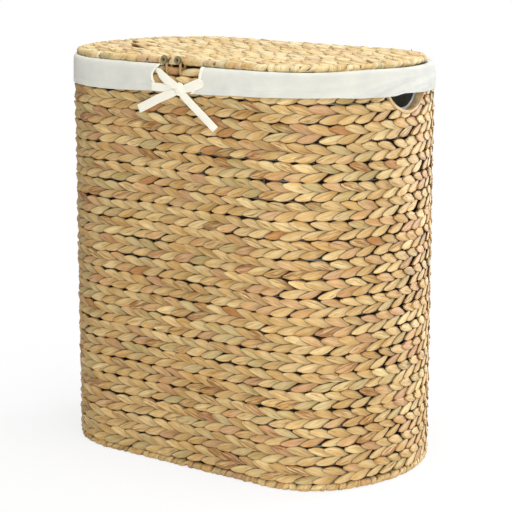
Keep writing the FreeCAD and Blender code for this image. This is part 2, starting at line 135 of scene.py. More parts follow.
def dried_leaf(name, stain, fibre_depth, roughness):
    """Dried water hyacinth with fibres along each leaf, stains, and painted shade in the gaps and grooves.
    """
    material, tree, shader = start_material(name, IOR=1.45, Roughness=roughness)
    shader.inputs["Specular IOR Level"].default_value = 0.3
    colour = add(tree, "Attribute", {"attribute_name": "leaf_colour"})
    grain = add(tree, "Attribute", {"attribute_name": "grain"})
    depth = add(tree, "Attribute", {"attribute_name": "depth"})

    def drawn_out(length, width, **settings):
        """Noise with patches of one length along the fibres and one width across them."""
        place = add(tree, "VectorMath", {"operation": "MULTIPLY", 1: (1 / length, 1 / width, 1)},
                    {0: grain.outputs["Vector"]})
        made = add(tree, "TexNoise", {"Scale": 1.0, **settings}, {"Vector": place.outputs[0]})
        return made.outputs[0]

    fibres = drawn_out(STREAK_LENGTH, FIBRE, Detail=3.0, Roughness=0.6)
    stains = drawn_out(STAIN_LENGTH, STAIN_WIDTH, Detail=4.0, Roughness=0.65)
    patches = drawn_out(PATCH_LENGTH, PATCH_WIDTH, Detail=2.0)
    streak = add(tree, "MapRange", {"From Min": 0.3, "From Max": 0.7, "To Min": 0.76, "To Max": 1.14},
                 {"Value": fibres})
    streaked = add(tree, "VectorMath", {"operation": "SCALE"},
                   {0: colour.outputs["Color"], "Scale": streak.outputs[0]})
    patch_share = add(tree, "MapRange", {"From Min": 0.42, "From Max": 0.66}, {"Value": patches})
    mellow = mix(tree, patch_share.outputs[0], streaked.outputs[0], "#F1E3CB", "MULTIPLY")
    bruised = add(tree, "Math", {"operation": "MULTIPLY_ADD", 1: 0.17},
                  {0: colour.outputs["Alpha"], 2: stains})
    stained_share = add(tree, "MapRange", {"From Min": 0.56, "From Max": 0.72, "To Max": stain},
                        {"Value": bruised.outputs[0]})
    stained = mix(tree, stained_share.outputs[0], mellow, "#85491F")
    # Painted shade: the depth attribute darkens the colour towards near black.
    shaded = mix(tree, depth.outputs["Fac"], stained, "#1E0F06")
    surface(tree, shader, shaded, fibres, 0.55, fibre_depth)
    return material


plaited_hyacinth = dried_leaf("water_hyacinth_plaited", stain=0.75, fibre_depth=0.5 * MM, roughness=0.62)
wound_hyacinth = dried_leaf("water_hyacinth_wound", stain=0.55, fibre_depth=0.4 * MM, roughness=0.58)
print("materials", plaited_hyacinth.name, wound_hyacinth.name)

# %% [markdown]
# ## The outline
# Seen from above the hamper is an oval with straight sides, a round bend at each corner and a
# shallow arc across each end. All that runs round it is placed by the distance along that outline,
# so a function gives the place and the outward direction at any distance.

# %% The oval
CORNER_RADIUS = 121.5 * MM
END_RADIUS = 219.5 * MM
SIGN_X = np.array([1, 1, -1, -1])
SIGN_Y = np.array([1, -1, -1, 1])


class Oval:
    """An oval outline. Distance starts at the middle of the front side and grows towards +X."""

    def __init__(self, length, width, inset=0.0, shift=0.0):
        self.shift = shift
        self.side = width / 2 - inset
        self.corner = CORNER_RADIUS - inset
        self.end = END_RADIUS - inset
        self.end_x = length / 2 - END_RADIUS
        self.corner_y = self.side - self.corner
        self.corner_x = self.end_x + math.sqrt((self.end - self.corner) ** 2 - self.corner_y ** 2)
        self.join = math.atan2(self.corner_y, self.corner_x - self.end_x)
        self.bend_stop = self.corner_x + self.corner * (math.pi / 2 - self.join)
        self.quarter = self.bend_stop + self.end * self.join
        self.around = 4 * self.quarter

    def at(self, s):
        """x, y and the outward direction's x and y at distances s."""
        s = np.mod(s, self.around)
        quadrant = np.minimum((s // self.quarter).astype(int), 3)
        t = s - quadrant * self.quarter
        t = np.where(quadrant % 2 == 1, self.quarter - t, t)
        on_bend, on_end = t > self.corner_x, t > self.bend_stop
        bend_angle = (t - self.corner_x) / self.corner - math.pi / 2
        end_angle = (t - self.bend_stop) / self.end - self.join
        angle = np.where(on_end, end_angle, np.where(on_bend, bend_angle, -math.pi / 2))
        x = np.where(on_bend, self.corner_x + self.corner * np.cos(angle), t)
        x = np.where(on_end, self.end_x + self.end * np.cos(angle), x)
        y = np.where(on_bend, -self.corner_y + self.corner * np.sin(angle), -self.side)
        y = np.where(on_end, self.end * np.sin(angle), y)
        sign_x, sign_y = SIGN_X[quadrant], SIGN_Y[quadrant]
        return x * sign_x + self.shift, y * sign_y, np.cos(angle) * sign_x, np.sin(angle) * sign_y

    def points(self, s, w, z):
        """Points at distances s, w outside the outline and z up."""
        x, y, nx, ny = self.at(s)
        return np.stack([x + nx * w, y + ny * w, z], axis=-1)


wall_low, wall_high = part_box("plait_course_01")
WALL_LENGTH = wall_high.x - wall_low.x
WALL_WIDTH = wall_high.y - wall_low.y
wall = Oval(WALL_LENGTH, WALL_WIDTH)
COURSES = sorted(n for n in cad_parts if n.startswith("plait_course_"))
COURSE = wall_high.z - wall_low.z
print(len(COURSES), "courses of", round(COURSE / MM, 1), "mm,", round(wall.around, 3), "m round")

# %% [markdown]
# ## Meshes of many small shells
# A plait is hundreds of leaves, and a wound rim is hundreds of turns. Each one is a small closed
# shell. numpy works out all the points of a piece at once, and one function turns them into a mesh.
# Its points carry the leaf's colour, its grain and its depth: painted shade in gaps, at edges and in
# grooves.

# %% Meshes and shells
FIELDS = {"FLOAT": "value", "FLOAT_VECTOR": "vector", "FLOAT_COLOR": "color"}


def new_piece(name, points, faces, attributes, material, body, stands_for):
    """A smooth mesh with attributes on its points. It rides on a body and stands for CAD nodes."""
    mesh = bpy.data.meshes.new(name)
    mesh.from_pydata(points.reshape(-1, 3).tolist(), [], faces)
    for key, kind, values in attributes:
        made = mesh.attributes.new(key, kind, "POINT")
        made.data.foreach_set(FIELDS[kind], values.astype(np.float32).ravel())
    mesh.shade_smooth()
    mesh.materials.append(material)
    made = bpy.data.objects.new(name, mesh)
    bpy.context.scene.collection.objects.link(made)
    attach(made, body)
    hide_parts(*stands_for)
    return made


def full_turn(count):
    """Even angles round a ring."""
    return np.linspace(0, 2 * math.pi, count, endpoint=False)


def squared(wave, power):
    """A sine or cosine with fuller shoulders, so a round section turns into a rounded bar."""
    return np.sign(wave) * np.abs(wave) ** power


def ring_quads(index):
    """Quads between neighbouring rings of point numbers."""
    turned = np.roll(index, -1, axis=-1)
    corners = [index[..., :-1, :], turned[..., :-1, :], turned[..., 1:, :], index[..., 1:, :]]
    return np.stack(corners, axis=-1).reshape(-1, 4)


def shell_faces(shells, rings, around):
    """Quads between the rings of each shell, and the two end caps."""
    index = np.arange(shells * rings * around).reshape(shells, rings, around)
    caps = np.concatenate([index[:, 0, ::-1], index[:, -1]])
    return ring_quads(index).tolist() + caps.tolist()


def shells_object(name, batches, material, body, stands_for=()):
    """One object from batches of shells. A batch holds points, colour, grain and depth arrays; depth is
    painted shade.
    """
    faces, colours, offset = [], [], 0
    for batch in batches:
        shape = batch["points"].shape[:3]
        faces += [[i + offset for i in face] for face in shell_faces(*shape)]
        colours.append(np.broadcast_to(batch["colour"][:, None, None, :], shape + (4,)).reshape(-1, 4))
        offset += math.prod(shape)
    points, grains, painted_shades = (np.concatenate([batch[key].reshape(-1, width) for batch in batches])
                              for key, width in (("points", 3), ("grain", 3), ("depth", 1)))
    attributes = [("leaf_colour", "FLOAT_COLOR", np.concatenate(colours)), ("grain", "FLOAT_VECTOR", grains),
                  ("depth", "FLOAT", painted_shades)]
    return new_piece(name, points, faces, attributes, material, body, stands_for)


def placed(batch, points, keep):
    """A row of leaves at its points, with only the leaves to keep."""
    return {"points": points[keep], **{key: batch[key][keep] for key in ("colour", "grain", "depth")}}


# %% [markdown]
# ## The leaf of a plait
# A plait has three flat strands. Each one comes up from behind at the edge of the plait, crosses on
# top towards the middle, and runs out there under the strands that follow. The stretch that shows is
# the leaf: rounded where it starts, up to 17 mm wide and drawn out to a point. Its start lies on the
# tail of the leaf before it, like a shingle, and the tails of the two rows interlock at the middle.
# The upper row slants down and the lower row slants up, which gives the chevrons. Two edge curves
# set the leaf's outline: how far along the plait, and how far from its middle, in millimetres.

# %% Leaf colours
STRAW = [("#E1C086", 0.32), ("#EACD92", 0.20), ("#D8B377", 0.20), ("#DCB480", 0.10), ("#D3A87A", 0.05),
         ("#CDB57D", 0.06), ("#D8BF88", 0.06), ("#C4915A", 0.01)]
# The lid's top: the same straw painted paler, as painted light from the lamp above.
PAINTED_LIT_STRAW = [("#F2DDAC", 0.38), ("#F6E5BA", 0.24), ("#EBD19B", 0.20), ("#E7C998", 0.09),
              ("#DEBE95", 0.04), ("#D7C795", 0.04), ("#CFA675", 0.01)]
ROLL_STRAW = [("#E9D29E", 0.40), ("#EFDBAC", 0.22), ("#E0C48C", 0.22), ("#DCBA8D", 0.09),
              ("#CFC093", 0.05), ("#C99C70", 0.02)]
STAINED_SHARE = 0.14


def plain(card):
    """One colour with no stain, for a shell that isn't a leaf."""
    return np.array([linear(card)[:3] + [0.0]])


def pick_colours(rng, count, palette, spread=0.05):
    """A colour for each leaf, picked by its share. Its fourth value is how badly the leaf is stained."""
    shares = np.array([share for _, share in palette])
    cards = np.array([linear(card) for card, _ in palette])
    picked = cards[rng.choice(len(cards), count, p=shares / shares.sum())]
    lightness = 1 + spread * rng.standard_normal((count, 1))
    picked[:, :3] = np.clip(picked[:, :3] * lightness, 0, 1)
    picked[:, 3] = rng.uniform(0.3, 1.0, count) * (rng.random(count) < STAINED_SHARE)
    return picked


# %% One row of leaves
LEAF_RINGS = 17
LEAF_AROUND = 16
LEAF_PITCH = 27.3 * MM
INNER_EDGE = [(1.0, 11.6), (-0.6, 9.9), (0.4, 7.6), (3.0, 5.6), (6.5, 3.7), (10.5, 2.0), (15, 0.6),
              (20, -0.5), (26, -1.3), (33, -1.8), (41, -2.0)]
OUTER_EDGE = [(3.7, 11.1), (6.6, 13.1), (10.3, 14.0), (15, 14.1), (20, 13.4), (24, 12.2), (27.8, 10.2),
              (31.5, 7.7), (34.9, 4.7), (38.4, 1.8), (42, -1.4)]
SHINGLE = 2.1 * MM
LEAF_TILT = 0.6 * MM
LEAF_CROWN = 2.4 * MM
CREASE = 0.5 * MM
DEEP_CREASE, DEEP_SHARE = 0.9 * MM, 0.16
RIDGE = 0.12 * MM
TAIL_DIP, TAIL_SHARE = 1.4 * MM, 0.16
EDGE_DROP, EDGE_FROM, EDGE_RUN = 2.0 * MM, 10.6 * MM, 3.8 * MM
HEAD_DIP, HEAD_SHARE = 2.4 * MM, 0.13
LEAF_LENGTH, LEAF_HALF = 46 * MM, 7.2 * MM


def smooth_line(points, steps):
    """Points along a smooth curve through the given points, with its directions."""
    points = np.array(points, float)
    ends = np.concatenate([[2 * points[0] - points[1]], points, [2 * points[-1] - points[-2]]])
    places = np.linspace(0, len(points) - 1, steps)
    k = np.minimum(places.astype(int), len(points) - 2)
    t = (places - k)[:, None]
    a, b, c, d = ends[k], ends[k + 1], ends[k + 2], ends[k + 3]
    line = 0.5 * (2 * b + (c - a) * t + (2 * a - 5 * b + 4 * c - d) * t ** 2
                  + (3 * b - a - 3 * c + d) * t ** 3)
    ahead = np.gradient(line, axis=0)
    return line, ahead / np.maximum(np.linalg.norm(ahead, axis=1, keepdims=True), 1e-9)


inner_edge = smooth_line(INNER_EDGE, LEAF_RINGS)[0] * MM
outer_edge = smooth_line(OUTER_EDGE, LEAF_RINGS)[0] * MM


def leaf_row(rng, starts, pitch, row, palette, scale=1.0, outline=1.0):
    """Leaves that start at given distances. row is 1 for the upper row and -1 for the lower one, and
    outline is how strong the painted shade along their edges is. Gives s along the plait, v across
    it and w out of it, with the colour, grain and painted shade."""
    count = len(starts)

    each = (count, 1, 1)

    def varied(middle, share):
        return middle * (1 + share * rng.standard_normal(each))

    t = np.linspace(0, 1, LEAF_RINGS)[None, :, None]
    angle = full_turn(LEAF_AROUND)
    u, front = np.cos(angle), np.sin(angle)
    middle = (inner_edge + outer_edge) / 2
    half = (outer_edge - inner_edge) / 2
    width = varied(1, 0.08)
    place_s, place_v = (middle[None, :, None, i] + half[None, :, None, i] * u * width for i in (0, 1))
    stretch = pitch / LEAF_PITCH * rng.uniform(0.97, 1.1, each)
    s = np.reshape(starts, each) + place_s * stretch
    v = place_v * scale + rng.normal(0, 0.03, each) * (place_s - 18 * MM)
    v = v + rng.normal(0, 0.35 * MM, each)
    crease = rng.uniform(-0.6, 0.6, each)
    crease_depth = rng.uniform(0, CREASE, each) + DEEP_CREASE * (rng.random(each) < DEEP_SHARE)
    folds = crease_depth * np.exp(-((u - crease - 0.15 * (t - 0.5)) / 0.18) ** 2)
    ridges = RIDGE * np.cos(7 * u + rng.uniform(0, 6, each))
    bulge = varied(LEAF_CROWN, 0.14) * np.abs(front) ** 0.55 * np.clip((1 - t) / 0.25, 0.15, 1) ** 0.5
    out = np.where(front > 0, bulge - (folds - ridges) * np.abs(front), -0.4 * bulge)
    tail = np.clip((t - 1 + TAIL_SHARE) / TAIL_SHARE, 0, 1)
    down = SHINGLE * (1 - 1.6 * t) - LEAF_TILT * u - TAIL_DIP * tail ** 2
    round_edge = EDGE_DROP * np.clip((np.abs(place_v) - EDGE_FROM) / EDGE_RUN, 0, 1.2) ** 2
    from_behind = HEAD_DIP * np.clip(1 - t / HEAD_SHARE, 0, 1) ** 2
    w = down + out - round_edge - from_behind + rng.normal(0, 0.25 * MM, each)
    seed = rng.uniform(0, 500, each)
    grain = np.stack(np.broadcast_arrays(t * LEAF_LENGTH + seed * 7 * MM, u * LEAF_HALF, seed), axis=-1)
    # Painted shade: dark edge lines where leaves meet, the gaps, and the tail under the next leaf.
    edge = np.clip((np.abs(u) - 0.84) / 0.12, 0, 1) * rng.uniform(0.35, 1.0, each) * outline
    painted_shade_under_next = 0.15 * np.clip((place_s / MM - 18) / 11, 0, 1)
    shade = np.clip(np.maximum(edge, gap_depth(w)) + painted_shade_under_next, 0, 1)
    v = v * row
    leaves = {"s": s, "v": v, "w": w, "grain": grain, "depth": shade}
    if row < 0:
        leaves = {key: values[:, :, ::-1] for key, values in leaves.items()}
    return {**leaves, "colour": pick_colours(rng, count, palette)}


def plait(rng, start, stop, palette, scale=1.0, outline=1.0):
    """Both rows of one plait between two distances, the lower row half a step on."""
    count = max(2, round((stop - start) / LEAF_PITCH))
    pitch = (stop - start) / count
    rows = []
    for row, lag in ((1, 0.0), (-1, 0.5)):
        starts = start + (np.arange(count) + lag + rng.uniform(-0.1, 0.1, count)) * pitch
        rows.append(leaf_row(rng, starts, pitch, row, palette, scale, outline))
    return rows


def gap_depth(w, floor=-4.4 * MM, top=-1.0 * MM):
    """How far into the shade of the gaps a point lies, from 0 to 1."""
    return np.clip((top - w) / (top - floor), 0, 1)


# %% [markdown]
# ## The wall
# Twenty-one plaits are stacked round the wire uprights. Their outer crowns lie on the wall's outline.
# The uprights press the leaves out a little, and the plaits wander up and down by a hair, together,
# as they do in hand work. A hand hole at each end cuts the top two courses: leaves that would lie in
# it are left out, and those at its edge are pushed aside, under the wound edge.

# %% Hand holes
rim_low, rim_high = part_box("top_rim_wrap")
RIM_RADIUS = (rim_high.z - rim_low.z) / 2
RIM_LEVEL = (rim_high.z + rim_low.z) / 2
WALL_THICKNESS = 2 * RIM_RADIUS
binding_low, binding_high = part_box("right_handle_binding")
BINDING_WIDTH = 6.5 * MM
WALL_TOP = binding_high.z
binding_drop = WALL_TOP - binding_low.z
binding_half = (binding_high.y - binding_low.y) / 2
BINDING_RADIUS = (binding_half ** 2 + binding_drop ** 2) / (2 * binding_drop)
HOLE_LEVEL = binding_low.z + BINDING_RADIUS
HOLE_RADIUS = BINDING_RADIUS - BINDING_WIDTH
END_MIDDLES = (wall.quarter, 3 * wall.quarter)
EDGE_REACH, EDGE_SINK = 4 * MM, 1.5 * MM
print("hand holes: radius", round(HOLE_RADIUS / MM, 1), "mm, centre", round(HOLE_LEVEL / MM, 1), "mm up")


def band_width(arc):
    """The wound edge is widest at the bottom of the hole and thins towards its ends."""
    return BINDING_WIDTH * (0.4 + 0.6 * np.exp(-(arc / 0.6) ** 2))


def clear_holes(s, z, w):
    """Moves points out of the hand holes along the wall, and lowers them beside the wound edge."""
    for middle in END_MIDDLES:
        side, up = s - middle, z - HOLE_LEVEL
        reach = np.maximum(np.hypot(side, up), 1e-6)
        outer = HOLE_RADIUS + band_width(np.arctan2(side, -up))
        near = (np.abs(side) < 2 * BINDING_RADIUS) & (reach < outer)
        share = np.where(near, outer / reach, 1.0)
        s, z = middle + side * share, HOLE_LEVEL + up * share
        edge = np.clip(1 - (np.hypot(s - middle, z - HOLE_LEVEL) - outer) / EDGE_REACH, 0, 1)
        w = w - np.where(np.abs(side) < 2 * BINDING_RADIUS, edge, 0) * EDGE_SINK
    return s, z, w


def in_hole(s, z):
    """Whether a leaf's middle lies inside a hand hole."""
    inside = np.zeros(len(s), bool)
    for middle in END_MIDDLES:
        inside |= np.hypot(s - middle, z - HOLE_LEVEL) < BINDING_RADIUS - 3 * MM
    return inside


# %% The woven wall
cuff_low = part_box("liner_cuff")[0]
notch_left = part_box("cuff_binding_left")[0].x
notch_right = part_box("cuff_binding_right")[1].x
UPRIGHT_PLACES = [x * MM for x in (-147, -49, 49, 147)]
CROWN_SINK = 3.0 * MM
UPRIGHT_SWELL = 0.7 * MM
UPRIGHT_SPREAD = 5 * MM
UNDER_CUFF = 2.6 * MM
HEM_LINE = [(-350, -2.5), (-230, -3.0), (-130, -3.8), (-86, -3.3), (-49, -1.5), (52, -0.7), (80, 0.2),
            (100, 1.6), (140, 2.7), (170, 4.0)]
HEM_END = [(-130, 4.6), (-100, 3.0), (-60, 1.5), (-40, 2.0), (-20, 4.4), (25, 1.6), (70, 0.3), (200, 0.0)]
HEM_SPOTS = np.array(HEM_LINE + [(s + wall.quarter / MM, rise) for s, rise in HEM_END]) * MM


def hem_level(s):
    """The lower edge of the cuff, which sags and rises a little as cloth does."""
    along = np.mod(s + 2 * wall.quarter, wall.around) - 2 * wall.quarter
    rise = np.interp(along, HEM_SPOTS[:, 0], HEM_SPOTS[:, 1])
    return cuff_low.z + rise + 0.4 * MM * np.sin(31 * along) * np.sin(13 * along)


def wander(s, z):
    """How far the plaits stray up or down."""
    turn = 2 * math.pi * s / wall.around
    waves = np.sin(5 * turn + 23 * z) + 0.7 * np.sin(11 * turn - 41 * z + 1) + 0.4 * np.sin(3 * turn + 9 * z)
    return 1.0 * MM * waves


def on_wall(batch, level):
    """Places a row of leaves on the wall, round the course's middle level."""
    s, w = batch["s"], batch["w"] - CROWN_SINK
    z = level + batch["v"] + wander(batch["s"], level)
    along = np.mod(s + wall.quarter, wall.around) - wall.quarter
    for place in UPRIGHT_PLACES:
        w = w + UPRIGHT_SWELL * np.exp(-((along - place) / UPRIGHT_SPREAD) ** 2)
    covered = np.clip((z - hem_level(s) + 4 * MM) / (7 * MM), 0, 1)
    covered = np.where((along > notch_left) & (along < notch_right), 0, covered)
    w = w - UNDER_CUFF * covered
    s, z, w = clear_holes(np.mod(s, wall.around), z, w)
    middle = LEAF_RINGS // 2
    lost = in_hole(np.mod(batch["s"][:, middle].mean(1), wall.around), level + batch["v"][:, middle].mean(1))
    return placed(batch, wall.points(s, w, z), ~lost)


BACK_STEPS = 370
BACK_AROUND = 8
BACK_DEPTH, BACK_HALF, BACK_REACH = 8.3 * MM, 3.0 * MM, 12.9 * MM
# Painted shade: the strands behind the leaves, brown as they look in the shade of the gaps.
PAINTED_BACK_SHADE = "#8A6A3E"


def back_of_course(rng, level):
    """The strands that pass behind, as one padded band round the inside of the course. Its brown is
    darkened almost to black: painted shade seen down the gaps.
    """
    s = np.linspace(0, wall.around, BACK_STEPS)[None, :, None]
    angle = full_turn(BACK_AROUND)
    w = -BACK_DEPTH + BACK_HALF * squared(np.sin(angle), 0.6) + 0 * s
    v = BACK_REACH * squared(np.cos(angle), 0.5) + 0 * s
    s, z, w = clear_holes(s + 0 * w, level + v + wander(s, level), w)
    grain = np.stack([s, v, 0 * s + rng.uniform(0, 99)], axis=-1)
    return {"points": wall.points(s, w, z), "colour": plain(PAINTED_BACK_SHADE), "grain": grain,
            "depth": 0 * s + 0.95}


for k, node in enumerate(COURSES):
    rng = np.random.default_rng(100 + k)
    low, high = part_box(node)
    level = (low.z + high.z) / 2
    phase = rng.uniform(0, LEAF_PITCH)
    rows = plait(rng, phase, phase + wall.around, STRAW)
    batches = [on_wall(row, level) for row in rows] + [back_of_course(rng, level)]
    shells_object(f"woven_course_{k + 1:02d}", batches, plaited_hyacinth, "basket", [node])
print("wall:", len(COURSES), "courses")

# %% [markdown]
# ## Wound edges
# The rims of the wall, the base and the lid are wires wrapped in leaf. Each turn of leaf is a short
# bulging roll, 12 to 25 mm wide, laid a little on the slant and tight against the next. The stalks
# of the hinge pass between two turns, so the turns are laid out from one stalk to the next. The lid
# is a little thinner at its back, so its wound edge and its upper rows sit lower there.

# %% Wound turns
TURN_WIDTH = 12.5 * MM
TURN_RINGS = 9
TURN_AROUND = 18
TURN_OVERLAP = 1.12


def turn_places(rng, spans, width):
    """Middles and half widths of turns that fill each span of distance."""
    middles, halves = [], []
    for start, stop in spans:
        count = max(1, round((stop - start) / width))
        widths = rng.uniform(0.5, 1.5, count)
        ends = start + np.concatenate([[0], np.cumsum(widths)]) / widths.sum() * (stop - start)
        middles += list((ends[1:] + ends[:-1]) / 2)
        halves += list((ends[1:] - ends[:-1]) / 2)
    return np.array(middles), np.array(halves)


def wound(rng, path, level, radius, spans, palette, slant=3.0 * MM, width=TURN_WIDTH, groove=0.6, floor=None,
          settle=None):
    """Turns of leaf round a rod that follows an oval at one level. slant is how far a turn leans along
    the rod, groove how dark the painted shade in the line between two turns is, floor a level that
    the turns are pressed flat on, and settle a function that says how far they sit lower."""
    middles, halves = turn_places(rng, spans, width)
    count = len(middles)
    each = (count, 1, 1)
    c = np.linspace(-1, 1, TURN_RINGS)[None, :, None]
    angle = full_turn(TURN_AROUND)
    half = halves.reshape(each) * TURN_OVERLAP
    lean = slant + 2.2 * MM * rng.standard_normal(each)
    s = middles.reshape(each) + c * half + lean * np.sin(angle + rng.uniform(-0.4, 0.4, each))
    size = radius * (1 + 0.05 * rng.standard_normal(each))
    ridges = 0.022 * np.cos(6 * c + rng.uniform(0, 6, each))
    tilt = 0.07 * c * rng.standard_normal(each)
    lumps = 0.035 * np.sin(2 * angle + 2 * c + rng.uniform(0, 6, each))
    r = size * (1 - 0.24 * np.abs(c) ** 3 + ridges + tilt + lumps)
    x, y, nx, ny = path.at(s)
    z = level + r * np.sin(angle)
    if floor is not None:
        z = np.maximum(z, floor)
    if settle is not None:
        z = z - settle(x, y) * (0.6 + 0.4 * np.sin(angle))
    points = np.stack([x + nx * r * np.cos(angle), y + ny * r * np.cos(angle), z], axis=-1)
    seed = rng.uniform(0, 500, each)
    grain = np.stack(np.broadcast_arrays(angle * radius + seed * MM, c * half, seed), axis=-1)
    # Painted shade towards each turn's sides, where it meets the next turn.
    depth = np.clip(np.abs(c) ** 6 * groove + 0 * r, 0, 1)
    return {"points": points, "colour": pick_colours(rng, count, palette), "grain": grain, "depth": depth}


rng = np.random.default_rng(7)
hinge_places = [(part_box(n)[0].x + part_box(n)[1].x) / 2 for n in ("hinge_loop_left", "hinge_loop_right")]
STALK_ROOM = 1.5 * MM


def spans_between(path, shift=0.0):
    """The stretches of an outline between the stalks of the hinge."""
    left, right = (x - shift for x in hinge_places)
    return [(left + STALK_ROOM, right - STALK_ROOM), (right + STALK_ROOM, left - STALK_ROOM + path.around)]


rim_path = Oval(WALL_LENGTH, WALL_WIDTH, RIM_RADIUS)
turns = wound(rng, rim_path, RIM_LEVEL, RIM_RADIUS * 0.98, spans_between(rim_path), ROLL_STRAW,
              slant=8 * MM, width=2 * TURN_WIDTH)
shells_object("wound_top_rim", [turns], wound_hyacinth, "basket", ["top_rim_wrap"])
base_low, base_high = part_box("base_rim_wrap")
base_wire_low, base_wire_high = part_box("base_rim_wire")
BASE_LEVEL = (base_wire_low.z + base_wire_high.z) / 2
BASE_RADIUS = base_high.z - BASE_LEVEL
base_path = Oval(WALL_LENGTH, WALL_WIDTH, BASE_RADIUS)
turns = wound(rng, base_path, BASE_LEVEL, BASE_RADIUS, [(0, base_path.around)], STRAW, floor=base_low.z)
shells_object("wound_base_rim", [turns], wound_hyacinth, "basket", ["base_rim_wrap"])
lid_low, lid_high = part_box("lid_rim_wrap")
LID_RADIUS = (lid_high.z - lid_low.z) / 2
LID_LEVEL = (lid_high.z + lid_low.z) / 2
LID_LENGTH, LID_WIDTH = lid_high.x - lid_low.x, lid_high.y - lid_low.y
LID_SHIFT = (lid_high.x + lid_low.x) / 2
LID_PULL = 1.5 * MM
LID_SETTLE = 2.2 * MM
SETTLE_START, SETTLE_RUN = -190 * MM, 140 * MM


def settled(x, y):
    """How far the lid sits lower towards its back and to the right, where it is woven tighter."""
    back = np.clip(2 * y / LID_WIDTH, 0, 1)
    right = np.clip((x - SETTLE_START) / SETTLE_RUN, 0, 1)
    return LID_SETTLE * back * right


lid_path = Oval(LID_LENGTH - 2 * LID_PULL, LID_WIDTH - 2 * LID_PULL, LID_RADIUS, LID_SHIFT)
turns = wound(rng, lid_path, LID_LEVEL, LID_RADIUS * 0.95, spans_between(lid_path, LID_SHIFT), ROLL_STRAW,
              slant=2 * MM, width=1.3 * TURN_WIDTH, groove=0.35, settle=settled)
shells_object("wound_lid_rim", [turns], wound_hyacinth, "lid", ["lid_rim_wrap"])
print("wound rims: top, base and lid")

# %% [markdown]
# ## Lid and floor panels
# The lid and the floor are the same plait laid in straight rows along the length. Both faces of
# the lid are covered, so it looks right when it stands open; the floor has rows on its underside
# only. The ends of the rows tuck into the wound edge, and the leaves are held inside its outline. A
# few leaves on top of the lid have worked loose and arch up.

# %% Straight rows
PANEL_ROW = 25.8 * MM
TUCK_RUN, TUCK_DEPTH = 4 * MM, 3 * MM
PANEL_SETTLE = 0.3
LID_CORE_DROP, LID_CORE_HALF, FLOOR_CORE_COVER = 1.8 * MM, 1.2 * MM, 3.2 * MM
LOOSE_PLACES = np.array([(-178, -54), (-226, 2), (-121, -122)]) * MM
LEAF_ROOM = np.array([13.6, 6.4]) * MM
LOOSE_ARCH = 5 * MM * np.sin(np.linspace(0, math.pi, LEAF_RINGS))[None, :, None]


def is_loose(points):
    """Whether a leaf of the lid's upper face has worked loose: one at each of a few places."""
    middles = points[:, LEAF_RINGS // 3].mean(1)[:, None, :2]
    return (np.abs(middles - LOOSE_PLACES) < LEAF_ROOM).all(2).any(1)


def panel_rows(rng, outline, level, half_thickness, face, palette):
    """Rows of plait along X over an oval, on the upper face (1) or the lower one (-1). The pale rows
    are the lid's top, paler as painted light from above, with fainter painted shade along the leaf
    edges, a low back and loose leaves."""
    rows = round(2 * outline.side / PANEL_ROW)
    step = 2 * outline.side / rows
    lid_top = palette is PAINTED_LIT_STRAW
    batches = []
    edge_s = np.linspace(0, 2 * outline.quarter, 400)
    edge_x, edge_y, _, _ = outline.at(edge_s)
    half_length = edge_x - outline.shift
    order, inner_order = np.argsort(edge_y), np.argsort(np.abs(edge_y))
    for i in range(rows):
        y_middle = -outline.side + (i + 0.5) * step
        reach = np.interp(min(abs(y_middle) + step / 4, outline.side), np.sort(np.abs(edge_y)),
                          half_length[inner_order])
        start = -reach - rng.uniform(0.6, 1.6) * LEAF_PITCH
        for batch in plait(rng, start, reach, palette, step / COURSE, 0.5 if lid_top else 1.0):
            x, y = batch["s"], y_middle + batch["v"]
            limit = np.interp(np.clip(y, -outline.side, outline.side), edge_y[order], half_length[order])
            out = np.abs(x) - limit
            x = np.clip(x, -limit, limit)
            w = batch["w"] - CROWN_SINK - np.clip(out / TUCK_RUN, 0, 1) * TUCK_DEPTH
            y = np.clip(y, -outline.side, outline.side)
            z = level + face * (half_thickness + w)
            if lid_top:
                z = z - PANEL_SETTLE * settled(x, y)
            points = np.stack([x + outline.shift, face * y, z], axis=-1)
            if lid_top:
                points[..., 2] += LOOSE_ARCH * is_loose(points)[:, None, None]
            middle = LEAF_RINGS // 2
            keep = np.abs(batch["s"][:, middle].mean(1)) < limit[:, middle].mean(1) + 4 * MM
            batches.append(placed(batch, points, keep))
    return batches


def panel_core(outline, level, half_thickness):
    """The middle of a panel, one flat oval shell that the rows lie on, darkened as painted shade."""
    s = np.linspace(0, outline.around, 121)[:-1]
    x, y, _, _ = outline.at(s)
    shares = np.array([0.02, 0.995, 0.995, 0.02])
    heights = np.array([-1, -1, 1, 1]) * half_thickness
    points = np.stack([np.outer(shares, x - outline.shift) + outline.shift, np.outer(shares, y),
                       np.repeat(heights[:, None], len(s), 1) + level], axis=-1)[None]
    return {"points": points, "colour": plain(PAINTED_BACK_SHADE), "grain": points,
            "depth": np.full(points.shape[:3], 0.8)}


panel_low, panel_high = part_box("lid_panel")
lid_half = (panel_high.z - panel_low.z) / 2
lid_inner = Oval(LID_LENGTH, LID_WIDTH, 1.2 * LID_RADIUS, LID_SHIFT)
rng = np.random.default_rng(21)
lid_rows = panel_rows(rng, lid_inner, LID_LEVEL, lid_half, 1, PAINTED_LIT_STRAW)
lid_rows += panel_rows(rng, lid_inner, LID_LEVEL, lid_half, -1, STRAW)
lid_rows.append(panel_core(lid_inner, LID_LEVEL - LID_CORE_DROP, LID_CORE_HALF))
shells_object("woven_lid", lid_rows, plaited_hyacinth, "lid", ["lid_panel"])
floor_low, floor_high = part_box("base_panel")
floor_half = (floor_high.z - floor_low.z) / 2
floor_level = (floor_high.z + floor_low.z) / 2
floor_inner = Oval(WALL_LENGTH, WALL_WIDTH, 1.3 * BASE_RADIUS)
floor_rows = panel_rows(rng, floor_inner, floor_level, floor_half, -1, STRAW)
